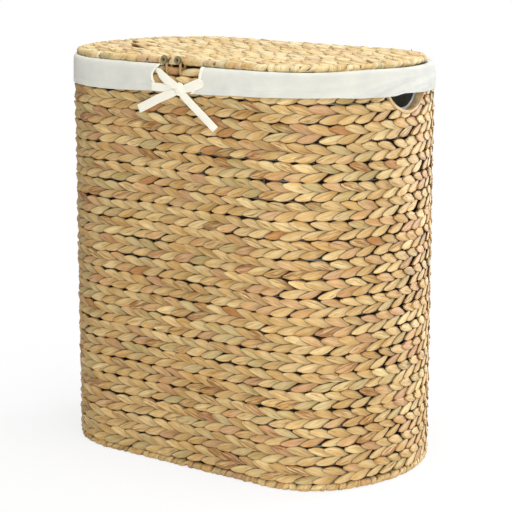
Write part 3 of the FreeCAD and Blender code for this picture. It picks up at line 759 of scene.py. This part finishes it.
for row in floor_rows:
    row["points"][..., 2] = np.maximum(row["points"][..., 2], base_low.z)
floor_rows.append(panel_core(floor_inner, floor_level, floor_half - FLOOR_CORE_COVER))
shells_object("woven_floor", floor_rows, plaited_hyacinth, "basket", ["base_panel"])
print("panels: lid and floor")

# %% [markdown]
# ## Hand-hole edges
# The cut edge of each hand hole is bound with one smooth length of leaf, so it reads as a rounded
# straw-coloured band. Its section is a rounded bar that is swept along the hole's arc, and the arc
# is bent to the end wall's curve.

# %% Bound edges
ARC_STEPS = 60
BAND_AROUND = 16


def bound_edge(name, middle, stands_for):
    """A rounded band along one hand hole's arc."""
    band_middle = HOLE_RADIUS + BINDING_WIDTH / 2
    open_angle = math.acos((HOLE_LEVEL - WALL_TOP) / band_middle)
    arc = np.linspace(-open_angle, open_angle, ARC_STEPS)[None, :, None]
    angle = full_turn(BAND_AROUND)
    half_band, half_depth = band_width(arc) / 2, WALL_THICKNESS / 2 + 0.2 * MM
    lumps = 1 + 0.04 * np.sin(9 * arc + 2 * np.cos(angle)) + 0.025 * np.sin(23 * arc)
    radial = HOLE_RADIUS + half_band * (1 + lumps * squared(np.cos(angle), 0.75))
    w = -WALL_THICKNESS / 2 + half_depth * squared(np.sin(angle), 0.75) + 0 * arc
    s, z = middle + radial * np.sin(arc), HOLE_LEVEL - radial * np.cos(arc)
    grain = np.stack([arc * band_middle + 0 * w, angle * half_band + 0 * w, middle + 0 * w], axis=-1)
    batch = {"points": wall.points(s, w, z)[:, :, ::-1], "colour": plain("#E8CB9A"),
             "grain": grain[:, :, ::-1], "depth": 0 * s}
    shells_object(name, [batch], wound_hyacinth, "basket", [stands_for])


bound_edge("bound_hole_right", END_MIDDLES[0], "right_handle_binding")
bound_edge("bound_hole_left", END_MIDDLES[1], "left_handle_binding")

# %% [markdown]
# ## Hinge stalks
# Two stalks are bent round the bare rim wire below and the bare lid wire above, and their cut ends
# stand out in front of the lid. A cut stalk shows a pale ring of rind, a darker pith and a hole in
# the middle. The ring and the hole are shape. An attribute says how dark each band of the cut end
# is, from 0 to 1: the darkening deepens into the hole, where it is painted shade, and the knob's
# sides are darkened too. It is -1 on the strand, which is a darker straw, painted shade for its
# place under the lid.

# %% Stalk material
stalk, tree, shader = start_material("water_hyacinth_stalk_cut", IOR=1.45, Roughness=0.6)
ring = add(tree, "Attribute", {"attribute_name": "ring"})
place = add(tree, "TexCoord")
mottle = add(tree, "TexNoise", {"Scale": 900.0, "Detail": 3.0}, {"Vector": place.outputs["Object"]})
bark = mix(tree, mottle.outputs[0], "#74663F", "#A8976A")
on_strand = add(tree, "Math", {"operation": "MULTIPLY", 1: -1.0}, {0: ring.outputs["Fac"]})
# Painted shade: the strand gets a darker straw for its place under the lid.
rind = mix(tree, on_strand.outputs[0], bark, "#B4925C")
pith_and_hole_shade = mix(tree, ring.outputs["Fac"], rind, "#1C140A")
surface(tree, shader, pith_and_hole_shade, mottle.outputs[0], 0.5, 0.3 * MM)

# %% Stalk loops
STALK_RADIUS = 2 * MM
KNOB_RISE = 2.6 * MM
KNOB_SIDE = 2.4 * MM
STALK_STEPS = 56
STALK_AROUND = 14
KNOB_FLARE = 0.7 * MM
LATHE_AROUND = 24


def swept(path_points, sides_a, sides_b, radius, around):
    """Rings of a round rod along points, with two side directions at each."""
    angle = full_turn(around)[:, None]
    sides = np.cos(angle) * sides_a[:, None, :] + np.sin(angle) * sides_b[:, None, :]
    return path_points[:, None, :] + radius[:, None, None] * sides


def stalk_loop(name, node):
    """A stalk round both wires, and its cut end in front of the lid."""
    low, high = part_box(node)
    x = (low.x + high.x) / 2
    ring_radius = RIM_LEVEL - low.z - STALK_RADIUS
    axis_y = rim_low.y + RIM_RADIUS
    rise = LID_LEVEL - RIM_LEVEL
    turn = full_turn(STALK_STEPS)
    y = axis_y + ring_radius * np.cos(turn)
    z = RIM_LEVEL + ring_radius * np.sin(turn) + np.where(np.sin(turn) > 0, rise, 0)
    path = np.stack([np.full_like(y, x), y, z], axis=-1)
    outward = np.stack([0 * y, np.cos(turn), np.sin(turn)], axis=-1)
    sideways = np.tile([1.0, 0.0, 0.0], (STALK_STEPS, 1))
    wobble = STALK_RADIUS * (1 + 0.06 * np.sin(5 * turn))
    rings = swept(path, outward, sideways, wobble, STALK_AROUND)
    index = np.arange(STALK_STEPS * STALK_AROUND).reshape(STALK_STEPS, STALK_AROUND)
    loop_faces = ring_quads(np.concatenate([index, index[:1]]))[:, [0, 3, 2, 1]]
    knob_radius = (high.x - low.x) / 2 + KNOB_FLARE
    front = low.y
    back = axis_y - ring_radius
    outline = [(0.0, 1.9), (0.16, 1.9), (0.22, 0.6), (0.40, 0.35), (0.52, 0.1), (0.74, 0.0), (0.92, 0.35),
               (1.0, 1.1), (1.0, 3.2), (0.85, 4.2), (0.5, 5.0), (0.45, (back - front) / MM)]
    # Painted shade deepening into the hole; the knob's sides are darkened too.
    dark = [1.0, 1.0, 0.9, 0.5, 0.15, 0.0, 0.35, 0.7, 0.6, 0.6, 0.7, 0.7]
    radii = np.array([r * knob_radius for r, _ in outline])
    depth = np.array([front + d * MM for _, d in outline])
    centres = np.stack([np.full_like(depth, x - KNOB_SIDE), depth,
                        np.full_like(depth, LID_LEVEL + KNOB_RISE)], axis=-1)
    axes_a, axes_b = np.tile([1.0, 0, 0], (len(depth), 1)), np.tile([0, 0, 1.0], (len(depth), 1))
    knob = swept(centres, axes_a, axes_b, radii, LATHE_AROUND)
    knob_faces = ring_quads(np.arange(len(outline) * LATHE_AROUND).reshape(-1, LATHE_AROUND)) + index.size
    points = np.concatenate([rings.reshape(-1, 3), knob.reshape(-1, 3)])
    shade = np.concatenate([np.full(index.size, -1.0), np.repeat(dark, LATHE_AROUND)])
    faces = np.concatenate([loop_faces, knob_faces]).tolist()
    new_piece(name, points, faces, [("ring", "FLOAT", shade)], stalk, "lid", [node])


stalk_loop("hinge_stalk_left", "hinge_loop_left")
stalk_loop("hinge_stalk_right", "hinge_loop_right")
print("hinge stalks at x", [round(x / MM, 1) for x in hinge_places], "mm")

# %% [markdown]
# ## Cotton
# The liner is plain-woven unbleached cotton, washed to off-white: a very rough surface with a little
# fuzz, which sheen stands for. Its threads are about 0.4 mm apart, too fine to see, so they are
# drawn 1.2 mm apart and weak. The tape is the same cotton, woven narrow with a ribbed face.

# %% Cotton materials
THREAD = 1.2 * MM
WAVE_PERIOD = 0.314  # metres from band to band of a wave texture at scale 1


def cotton(name, card, shade_card, thread):
    """Matt cotton with a faint weave and soft, uneven whiteness."""
    material, tree, shader = start_material(name, Roughness=0.92)
    shader.inputs["Specular IOR Level"].default_value = 0.2
    shader.inputs["Sheen Weight"].default_value = 0.15
    shader.inputs["Diffuse Roughness"].default_value = 1.0
    place = add(tree, "Attribute", {"attribute_name": "cloth"})
    warp, weft = (
        add(tree, "TexWave", {"bands_direction": way, "Scale": WAVE_PERIOD / thread, "Distortion": 1.5,
                              "Detail": 2.0}, {"Vector": place.outputs["Vector"]}) for way in "XY")
    weave = add(tree, "Math", {"operation": "MULTIPLY"}, {0: warp.outputs[1], 1: weft.outputs[1]})
    uneven = add(tree, "TexNoise", {"Scale": 28.0, "Detail": 5.0, "Roughness": 0.6},
                 {"Vector": place.outputs["Vector"]})
    share = add(tree, "MapRange", {"From Min": 0.35, "From Max": 0.75}, {"Value": uneven.outputs[0]})
    colour = mix(tree, share.outputs[0], card, shade_card)
    threads = add(tree, "MapRange", {"To Min": 1.0, "To Max": 0.965}, {"Value": weave.outputs[0]})
    woven = add(tree, "VectorMath", {"operation": "SCALE"},
                {0: colour, "Scale": threads.outputs[0]})
    surface(tree, shader, woven.outputs[0], weave.outputs[0], 0.25, 0.15 * MM)
    return material


liner_cotton = cotton("cotton_calico_washed", "#E7E5D9", "#D9D9D0", THREAD)
tape_cotton = cotton("cotton_tape_ribbed", "#FBF6E6", "#F4F0E1", 0.8 * THREAD)

# %% Sheets of cloth
CLOTH = 0.9 * MM


def cloth_sheet(name, points, cloth_place, material, stands_for, thickness, keep=None):
    """A grid of points as a sheet with real thickness. keep says which quads stay."""
    rows, columns = points.shape[:2]
    index = np.arange(rows * columns).reshape(rows, columns)
    quads = np.stack([index[:-1, :-1], index[1:, :-1], index[1:, 1:], index[:-1, 1:]], axis=-1)
    faces = quads.reshape(-1, 4) if keep is None else quads[keep]
    made = new_piece(name, points, faces.tolist(), [("cloth", "FLOAT_VECTOR", cloth_place)], material,
                     "basket", stands_for)
    solid = made.modifiers.new("cloth thickness", "SOLIDIFY")
    solid.thickness = thickness
    solid.offset = 0.0
    return made


# %% [markdown]
# ## The liner inside
# The liner hangs inside the wall like a bag: a wall of cloth with soft upright folds, and a floor.
# It has an opening at each hand hole. It is modelled from given waves, because its folds are shallow
# and follow the wall.

# %% Liner wall and floor
LINER_SLACK, LINER_FOLD = 2.2 * MM, 0.9 * MM
LINER_HOLE = HOLE_RADIUS - 1.5 * MM
HOLE_SNAP = 5 * MM
NOTCH_DEPTH = 20 * MM
liner_low, liner_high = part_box("liner_wall")
liner_inset = WALL_LENGTH / 2 - liner_high.x + CLOTH / 2
s_line = np.linspace(0, wall.around, 301)
z_line = np.linspace(liner_low.z, RIM_LEVEL, 106)
s, z = np.meshgrid(s_line, z_line)
turn = 2 * math.pi * s / wall.around
slack = np.sin(math.pi * np.clip((z - liner_low.z) / (RIM_LEVEL - liner_low.z), 0, 1)) ** 0.5
waves = np.sin(17 * turn + 6 * z) + 0.6 * np.sin(29 * turn - 11 * z) + 0.5 * np.sin(7 * turn + 14 * z)
w = -liner_inset - slack * (LINER_SLACK + waves * LINER_FOLD)
quad_s, quad_z = (s[:-1, :-1] + s[1:, 1:]) / 2, (z[:-1, :-1] + z[1:, 1:]) / 2
keep = np.ones(quad_s.shape, bool)
for middle in END_MIDDLES:
    keep &= np.hypot(quad_s - middle, quad_z - HOLE_LEVEL) > LINER_HOLE
    reach = np.hypot(s - middle, z - HOLE_LEVEL)
    near = (reach < LINER_HOLE + HOLE_SNAP) & (reach > LINER_HOLE - HOLE_SNAP)
    share = np.where(near, LINER_HOLE / np.maximum(reach, MM), 1.0)
    s, z = middle + (s - middle) * share, HOLE_LEVEL + (z - HOLE_LEVEL) * share
points = wall.points(s, w, z)
along_front = np.minimum(quad_s, wall.around - quad_s)
keep &= ~((along_front < -notch_left) & (quad_z > RIM_LEVEL - NOTCH_DEPTH))
liner_wall = cloth_sheet("liner_wall_cloth", points, np.stack([s, z, 0 * s], axis=-1), liner_cotton,
                         ["liner_wall"], CLOTH, keep)
floor_oval = Oval(WALL_LENGTH, WALL_WIDTH, liner_inset)
floor_s = np.linspace(0, floor_oval.around, 161)
shares = np.linspace(0.03, 0.995, 22)
s, share = np.meshgrid(floor_s, shares)
x, y, _, _ = floor_oval.at(s)
bottom_low, bottom_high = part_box("liner_bottom")
ripple = 0.8 * MM * (np.sin(x * share * 45 + 2) * np.sin(y * share * 60) + 0.5)
points = np.stack([x * share, y * share, bottom_high.z - CLOTH / 2 + ripple], axis=-1)
liner_floor = cloth_sheet("liner_floor_cloth", points, points, liner_cotton, ["liner_bottom"], CLOTH)

# %% [markdown]
# ## The cuff
# The top of the liner folds out over the rim and hangs outside, to about 29 mm below the middle of
# the rim. It is split where the hinge is. Its lower edge has a narrow hem. It hangs a little lower on
# the left, and the cloth pulls in soft slanting folds at the right, where the hand hole takes its
# support away.

# %% Cuff over the rim
CUFF_ROLL = RIM_RADIUS + 0.9 * MM
HEM_WIDTH = 8 * MM
EDGE_BINDING = 4 * MM
ROLL_STEPS, SKIRT_STEPS, CUFF_COLUMNS = 13, 22, 560
HEM_RELIEF, HEM_LINE_WIDTH = 0.35 * MM, 0.7 * MM
PUFF, PUFF_AT_ENDS, PUFF_AT_CORNER = 2.0 * MM, 1.9 * MM, 2.0 * MM
CORNER_BEFORE, CORNER_SPREAD = 85 * MM, 50 * MM
PULLED_FOLD, SOFT_FOLD = 5.0 * MM, 0.9 * MM
LEFT_LINE = [(-29, 34), (-25, 22), (-21, 11), (-18, 6.5), (-14, 3.6), (-10, 2.0), (-6, 1.5), (-2.6, 3.0),
             (2.4, 7.5), (7.4, 14.5)]
RIGHT_LINE = [(-29, -19), (-22.6, -13), (-16.6, -7), (-9.6, -4.2), (-2.6, -3.4), (8.9, -1.8)]


def split_edge(line, notch, z):
    """One edge of the split at each height: heights from the rim and distances from the notch, in mm."""
    heights, places = np.array(line).T * MM
    return notch + np.interp(z - RIM_LEVEL, heights, places)


def left_edge(z):
    """The cuff's end left of the hinge, a curve like a C from the lid to the tie."""
    return split_edge(LEFT_LINE, notch_left, z)


def right_edge(z):
    """The cuff's end right of the hinge: upright, then under the tie."""
    return split_edge(RIGHT_LINE, notch_right, z)


def cuff_point(s, q, lift=0.0):
    """A point of the cuff: q runs 0 to 1 over the rim and 1 to 2 down the outside. The cloth puffs out
    as it leaves the rim, and folds where it hangs."""
    roll = np.clip(q, 0, 1) * math.pi
    drop = np.clip(q - 1, 0, 1)
    along = np.mod(s, wall.around)
    at_ends = np.sin(2 * math.pi * along / wall.around) ** 2
    at_corner = np.exp(-((along - wall.quarter + CORNER_BEFORE) / CORNER_SPREAD) ** 2)
    puff = PUFF + PUFF_AT_ENDS * at_ends + PUFF_AT_CORNER * at_corner
    radius = CUFF_ROLL + lift + puff * np.exp(-((roll - 2.0) / 0.5) ** 2)
    w = -RIM_RADIUS - radius * np.cos(roll)
    hem = hem_level(s)
    z = RIM_LEVEL + radius * np.sin(roll) - drop * (RIM_LEVEL - hem)
    right = np.exp(-((along - wall.quarter + 0.02) / 0.1) ** 2)
    slanted = np.sin(2 * math.pi * (z * 52 - (along - wall.quarter) * 9) + 1.2 * np.sin(along * 30))
    loose = np.exp(-((along - wall.quarter - 0.3) / 0.3) ** 2) + 0.35
    soft = np.sin(2 * math.pi * (z * 31 + along * 3.1)) * np.sin(along * 17) * loose
    hang = drop * (1 - 0.55 * drop)
    w = w + hang * (right * PULLED_FOLD * (slanted + 0.7) + SOFT_FOLD * (soft + 1.0))
    hem_share = 1 - np.clip((z - hem) / HEM_WIDTH, 0, 1)
    w = w + HEM_RELIEF * np.clip(hem_share * 8, 0, 1)
    w = w - HEM_RELIEF * np.exp(-(((z - hem) - HEM_WIDTH) / HEM_LINE_WIDTH) ** 2) * (drop > 0)
    return wall.points(s, w, z)


def cuff_level(q):
    """About how high the cuff is at q, for the edges of the split."""
    drop = np.clip(q - 1, 0, 1) * (RIM_LEVEL - cuff_low.z)
    return RIM_LEVEL + CUFF_ROLL * np.sin(np.clip(q, 0, 1) * math.pi) - drop


q_line = np.concatenate([np.linspace(0, 1, ROLL_STEPS), 1 + np.linspace(0, 1, SKIRT_STEPS)[1:] ** 0.9])
share, q = np.meshgrid(np.linspace(0, 1, CUFF_COLUMNS), q_line)
first, last = right_edge(cuff_level(q)), left_edge(cuff_level(q))
s = first + share * (wall.around + last - first)
points = cuff_point(s, q)
cuff = cloth_sheet("liner_cuff_cloth", points, np.stack([s, q * 30 * MM, 0 * s], axis=-1), liner_cotton,
                   ["liner_cuff"], CLOTH)


def edge_binding(name, edge, side, stands_for):
    """A narrow folded strip along one edge of the split."""
    across, q = np.meshgrid(np.linspace(-0.3, 1, 6), q_line)
    s = edge(cuff_level(q)) + side * across * EDGE_BINDING
    crown = 0.6 * MM + 0.25 * MM * np.sin(np.clip(across, 0, 1) * math.pi)
    points = cuff_point(np.mod(s, wall.around), q, crown)
    points[..., 1] -= np.where(q > 1, crown, 0)
    return cloth_sheet(name, points, np.stack([s, q * 30 * MM, 0 * s], axis=-1), tape_cotton, [stands_for],
                       0.5 * MM)


bindings = [edge_binding("cuff_edge_left", left_edge, -1, "cuff_binding_left"),
            edge_binding("cuff_edge_right", right_edge, 1, "cuff_binding_right")]

# %% [markdown]
# ## Ties and bow
# Two tapes, sewn to the corners of the split, cross over the top course and are tied in a half bow:
# one loop and two free tails. The tape is flat and 12.5 mm wide. Each stretch is a ribbon along a
# line that lies on the wall, with a little lift and twist where it is free. The loop is one ribbon
# that runs out, folds back on itself at the tip and returns in front of its first half.

# %% Ribbons
RIBBON = 0.45 * MM
RIBBON_ACROSS = 7
WALL_FACE = -WALL_WIDTH / 2
knot_low, knot_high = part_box("bow_knot")
KNOT = Vector(((knot_low.x + knot_high.x) / 2, knot_low.y, (knot_low.z + knot_high.z) / 2))


def ribbon(name, points, widths, stands_for, steps=60, twist=0, crown=0.25 * MM, cut=0.0):
    """A flat tape along points given in mm: x from the knot, y out from the wall, z from the knot.
    twist is how many degrees it turns by its end, and cut how far its end is cut on the slant."""
    places = [(KNOT.x + x * MM, WALL_FACE - y * MM, KNOT.z + z * MM) for x, y, z in points]
    line, ahead = smooth_line(places, steps)
    outward = np.array([0.0, -1.0, 0.0])
    across = np.cross(ahead, outward)
    across /= np.linalg.norm(across, axis=1, keepdims=True)
    share = np.linspace(0, 1, steps)[:, None]
    turn = np.radians(twist * share)
    face = np.cross(across, ahead)
    across = across * np.cos(turn) + face * np.sin(turn)
    v = np.linspace(-1, 1, RIBBON_ACROSS)[None, :, None]
    width = np.interp(share, np.linspace(0, 1, len(widths)), np.array(widths) * MM)[..., None]
    lift = crown * (1 - v ** 2)
    skew = cut * (share ** 8)[..., None] * v * width / 2
    grid = line[:, None, :] + across[:, None, :] * v * width / 2 + outward * lift + ahead[:, None, :] * skew
    length = np.linalg.norm(np.diff(line, axis=0), axis=1).sum()
    cloth_place = np.stack(np.broadcast_arrays(v[..., 0] * width[..., 0] / 2, share * length, 0 * share),
                           axis=-1)
    made = cloth_sheet(name, grid, cloth_place, tape_cotton, stands_for, RIBBON)
    return made


ribbon("tie_tape_left", [(-51, 3.1, 0.4), (-40, 3.2, 0.5), (-25, 3.0, 0.4), (-12, 3.0, 0.3), (0, 3.2, 0)],
       [11.5, 11.8, 12, 11.5, 9], ["tie_left"])
ribbon("tie_tape_right", [(44.5, 3.6, 10.8), (37, 3.7, 9.8), (26, 3.4, 6.2), (14, 3.2, 2.2), (2, 3.3, 0)],
       [7.5, 14, 14, 12, 9], ["tie_right"])
ribbon("bow_tail_left_tape",
       [(2, 3.4, -1), (-14, 3.7, -7), (-36, 3.7, -15.4), (-57, 3.4, -25), (-75.5, 3.5, -33.4)],
       [9, 11.5, 12.5, 12.5, 12.5], ["bow_tail_left"], twist=4)
ribbon("bow_tail_right_tape",
       [(-1, 3.3, -1.5), (9, 3.7, -9), (30, 3.9, -25), (50, 3.5, -40.2), (65.5, 3.1, -52)],
       [9, 12.2, 12.5, 12.5, 12.5], ["bow_tail_right"], twist=-4, cut=-0.3)
loop_out = [(-2, 2.7, 0.5), (-12, 3.0, 5.5), (-24, 3.0, 12.0), (-33, 2.7, 18.6), (-37.6, 2.2, 22.4)]
loop_back = [(-38.2, 3.2, 23.6), (-33, 4.6, 20.8), (-22, 5.3, 13.2), (-10, 5.0, 7.0), (0, 4.0, 2)]
bow_loop = ribbon("bow_loop_tape", loop_out + loop_back, [9, 12, 12.8, 12.0, 8.0, 8.0, 11.8, 12.8, 12, 9],
                  ["bow_loop"], steps=110)
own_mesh(bow_loop)


# %% The knot
def knot_band(name, angle, length, width, swell, stands_for):
    """A short band of tape wrapped over the crossing, from back to front and round again."""
    turn = np.linspace(math.radians(-200), math.radians(20), 40)[:, None]
    v = np.linspace(-1, 1, 9)[None, :]
    half = length / 2 * (1 - 0.12 * v ** 2)
    down = half * np.cos(turn) + 0 * v
    out = swell * (-np.sin(turn)) * (1 - 0.35 * v ** 2) + 0.25 * MM * np.sin(9 * v + 2 * turn) + 0.4 * MM
    side = v * width / 2 * (1 - 0.16 * np.abs(np.cos(turn)))
    c, k = math.cos(angle), math.sin(angle)
    points = np.stack([KNOT.x + side * c + down * k, WALL_FACE - 2.2 * MM - out,
                       KNOT.z - side * k + down * c], axis=-1)
    made = cloth_sheet(name, points, np.stack([side, down, 0 * side], axis=-1), tape_cotton, stands_for,
                       0.7 * MM)


knot_band("bow_knot_band", math.radians(-12), 12.5 * MM, 15 * MM, 3.0 * MM, ["bow_knot"])
knot_band("bow_knot_under", math.radians(20), 18.5 * MM, 10.5 * MM, 2.2 * MM, [])
print("bow at", [round(c / MM, 1) for c in KNOT], "mm")

# %% [markdown]
# ## Coated wire
# The frame is mild-steel wire with a brown paint, sprayed and stoved. It shows only where the wraps
# open for the stalks. Paint is a dielectric with a soft gloss and a slight orange-peel ripple.

# %% Painted wire
painted_wire, tree, shader = start_material("steel_wire_painted_brown", IOR=1.5, Roughness=0.42)
place = add(tree, "TexCoord")
peel = add(tree, "TexNoise", {"Scale": 400.0, "Detail": 3.0}, {"Vector": place.outputs["Object"]})
surface(tree, shader, mix(tree, peel.outputs[0], "#4A3420", "#5A4129"), peel.outputs[0], 0.2, 0.1 * MM)
for name in ("top_rim_wire", "base_rim_wire", "upright_wires", "base_cross_wires", "lid_rim_wire",
             "lid_cross_wires"):
    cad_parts[name].data.materials.clear()
    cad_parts[name].data.materials.append(painted_wire)

# %% [markdown]
# ## Studio
# White paper lies under and behind the hamper. Most light comes from large soft lamps above it and
# at its right end. Two weaker ones fill in the front, and the surround is weak and even. The paper is
# plain white away from the hamper, and keeps the contact shadow.

# %% Floor and light
bpy.ops.mesh.primitive_plane_add(size=60)
floor = bpy.context.object
floor.name = "studio_floor"
floor_material, tree, shader = start_material("studio_paper_white", Roughness=0.9)
shader.inputs["Base Color"].default_value = linear("#F4F4F4")
shader.inputs["Specular IOR Level"].default_value = 0.0
rays = add(tree, "LightPath")
glow = add(tree, "Emission", {"Color": (1, 1, 1, 1), "Strength": 1.0})
place = add(tree, "TexCoord")
away = add(tree, "VectorMath", {"operation": "LENGTH"}, {0: place.outputs["Object"]})
evenness = add(tree, "MapRange", {"From Min": 0.25, "From Max": 0.75, "To Min": 0.8, "To Max": 1.0},
               {"Value": away.outputs["Value"]})
seen = add(tree, "Math", {"operation": "MULTIPLY"},
           {0: rays.outputs["Is Camera Ray"], 1: evenness.outputs[0]})
mixed = add(tree, "MixShader", links={0: seen.outputs[0], 1: shader.outputs[0], 2: glow.outputs[0]})
tree.links.new(mixed.outputs[0], tree.nodes["Material Output"].inputs["Surface"])
floor.data.materials.append(floor_material)

world = bpy.data.worlds.new("studio")
bpy.context.scene.world = world
world.use_nodes = True
tree = world.node_tree
surround = tree.nodes["Background"]
rays = add(tree, "LightPath")
white = add(tree, "Math", {"operation": "MAXIMUM"},
            {0: rays.outputs["Is Camera Ray"], 1: rays.outputs["Is Glossy Ray"]})
whiter = add(tree, "Math", {"operation": "MAXIMUM"},
             {0: white.outputs[0], 1: rays.outputs["Is Transmission Ray"]})
AMBIENT = 0.22
HAMPER_MIDDLE = Vector((0, 0, 0.3))
strength = add(tree, "MapRange", {"To Min": AMBIENT, "To Max": 1.0}, {"Value": whiter.outputs[0]})
tree.links.new(strength.outputs[0], surround.inputs["Strength"])
surround.inputs["Color"].default_value = (1, 1, 1, 1)


def soft_lamp(name, place, size, power, colour=(1, 1, 1)):
    """A square soft box that faces the hamper."""
    lamp = bpy.data.lights.new(name, "AREA")
    lamp.size = size
    lamp.energy = power
    lamp.color = colour
    made = bpy.data.objects.new(name, lamp)
    bpy.context.scene.collection.objects.link(made)
    made.location = place
    aim = HAMPER_MIDDLE - made.location
    made.rotation_euler = aim.to_track_quat("-Z", "Y").to_euler()


COOL_WHITE = (0.95, 0.99, 1.07)
soft_lamp("key_right", (1.0, -1.0, 0.65), 0.8, 6, COOL_WHITE)
soft_lamp("front_fill", (0.85, -1.25, 0.7), 1.0, 4.6)
soft_lamp("side_fill", (0.9, 1.75, 0.6), 0.9, 36, COOL_WHITE)
soft_lamp("top_light", (0.3, -0.2, 2.8), 1.3, 49)

# %% [markdown]
# ## Camera
# The hamper is seen from its front right, a little from above, with a long lens.

# %% Camera
CAMERA_TURN = math.radians(37.5)
CAMERA_TILT = math.radians(11.7)
CAMERA_DISTANCE = 2.77
LOOK_AT = Vector((0.009, 0.0, 0.291))
LENS_LENGTH = 129  # millimetres
lens = bpy.data.cameras.new("camera")
lens.lens = LENS_LENGTH
camera = bpy.data.objects.new("camera", lens)
bpy.context.scene.collection.objects.link(camera)
level_part = math.cos(CAMERA_TILT)
ahead = Vector((-math.sin(CAMERA_TURN) * level_part, math.cos(CAMERA_TURN) * level_part,
                -math.sin(CAMERA_TILT)))
camera.location = LOOK_AT - ahead * CAMERA_DISTANCE
camera.rotation_euler = ahead.to_track_quat("-Z", "Y").to_euler()
bpy.context.scene.camera = camera
bpy.context.scene.view_settings.view_transform = "Standard"
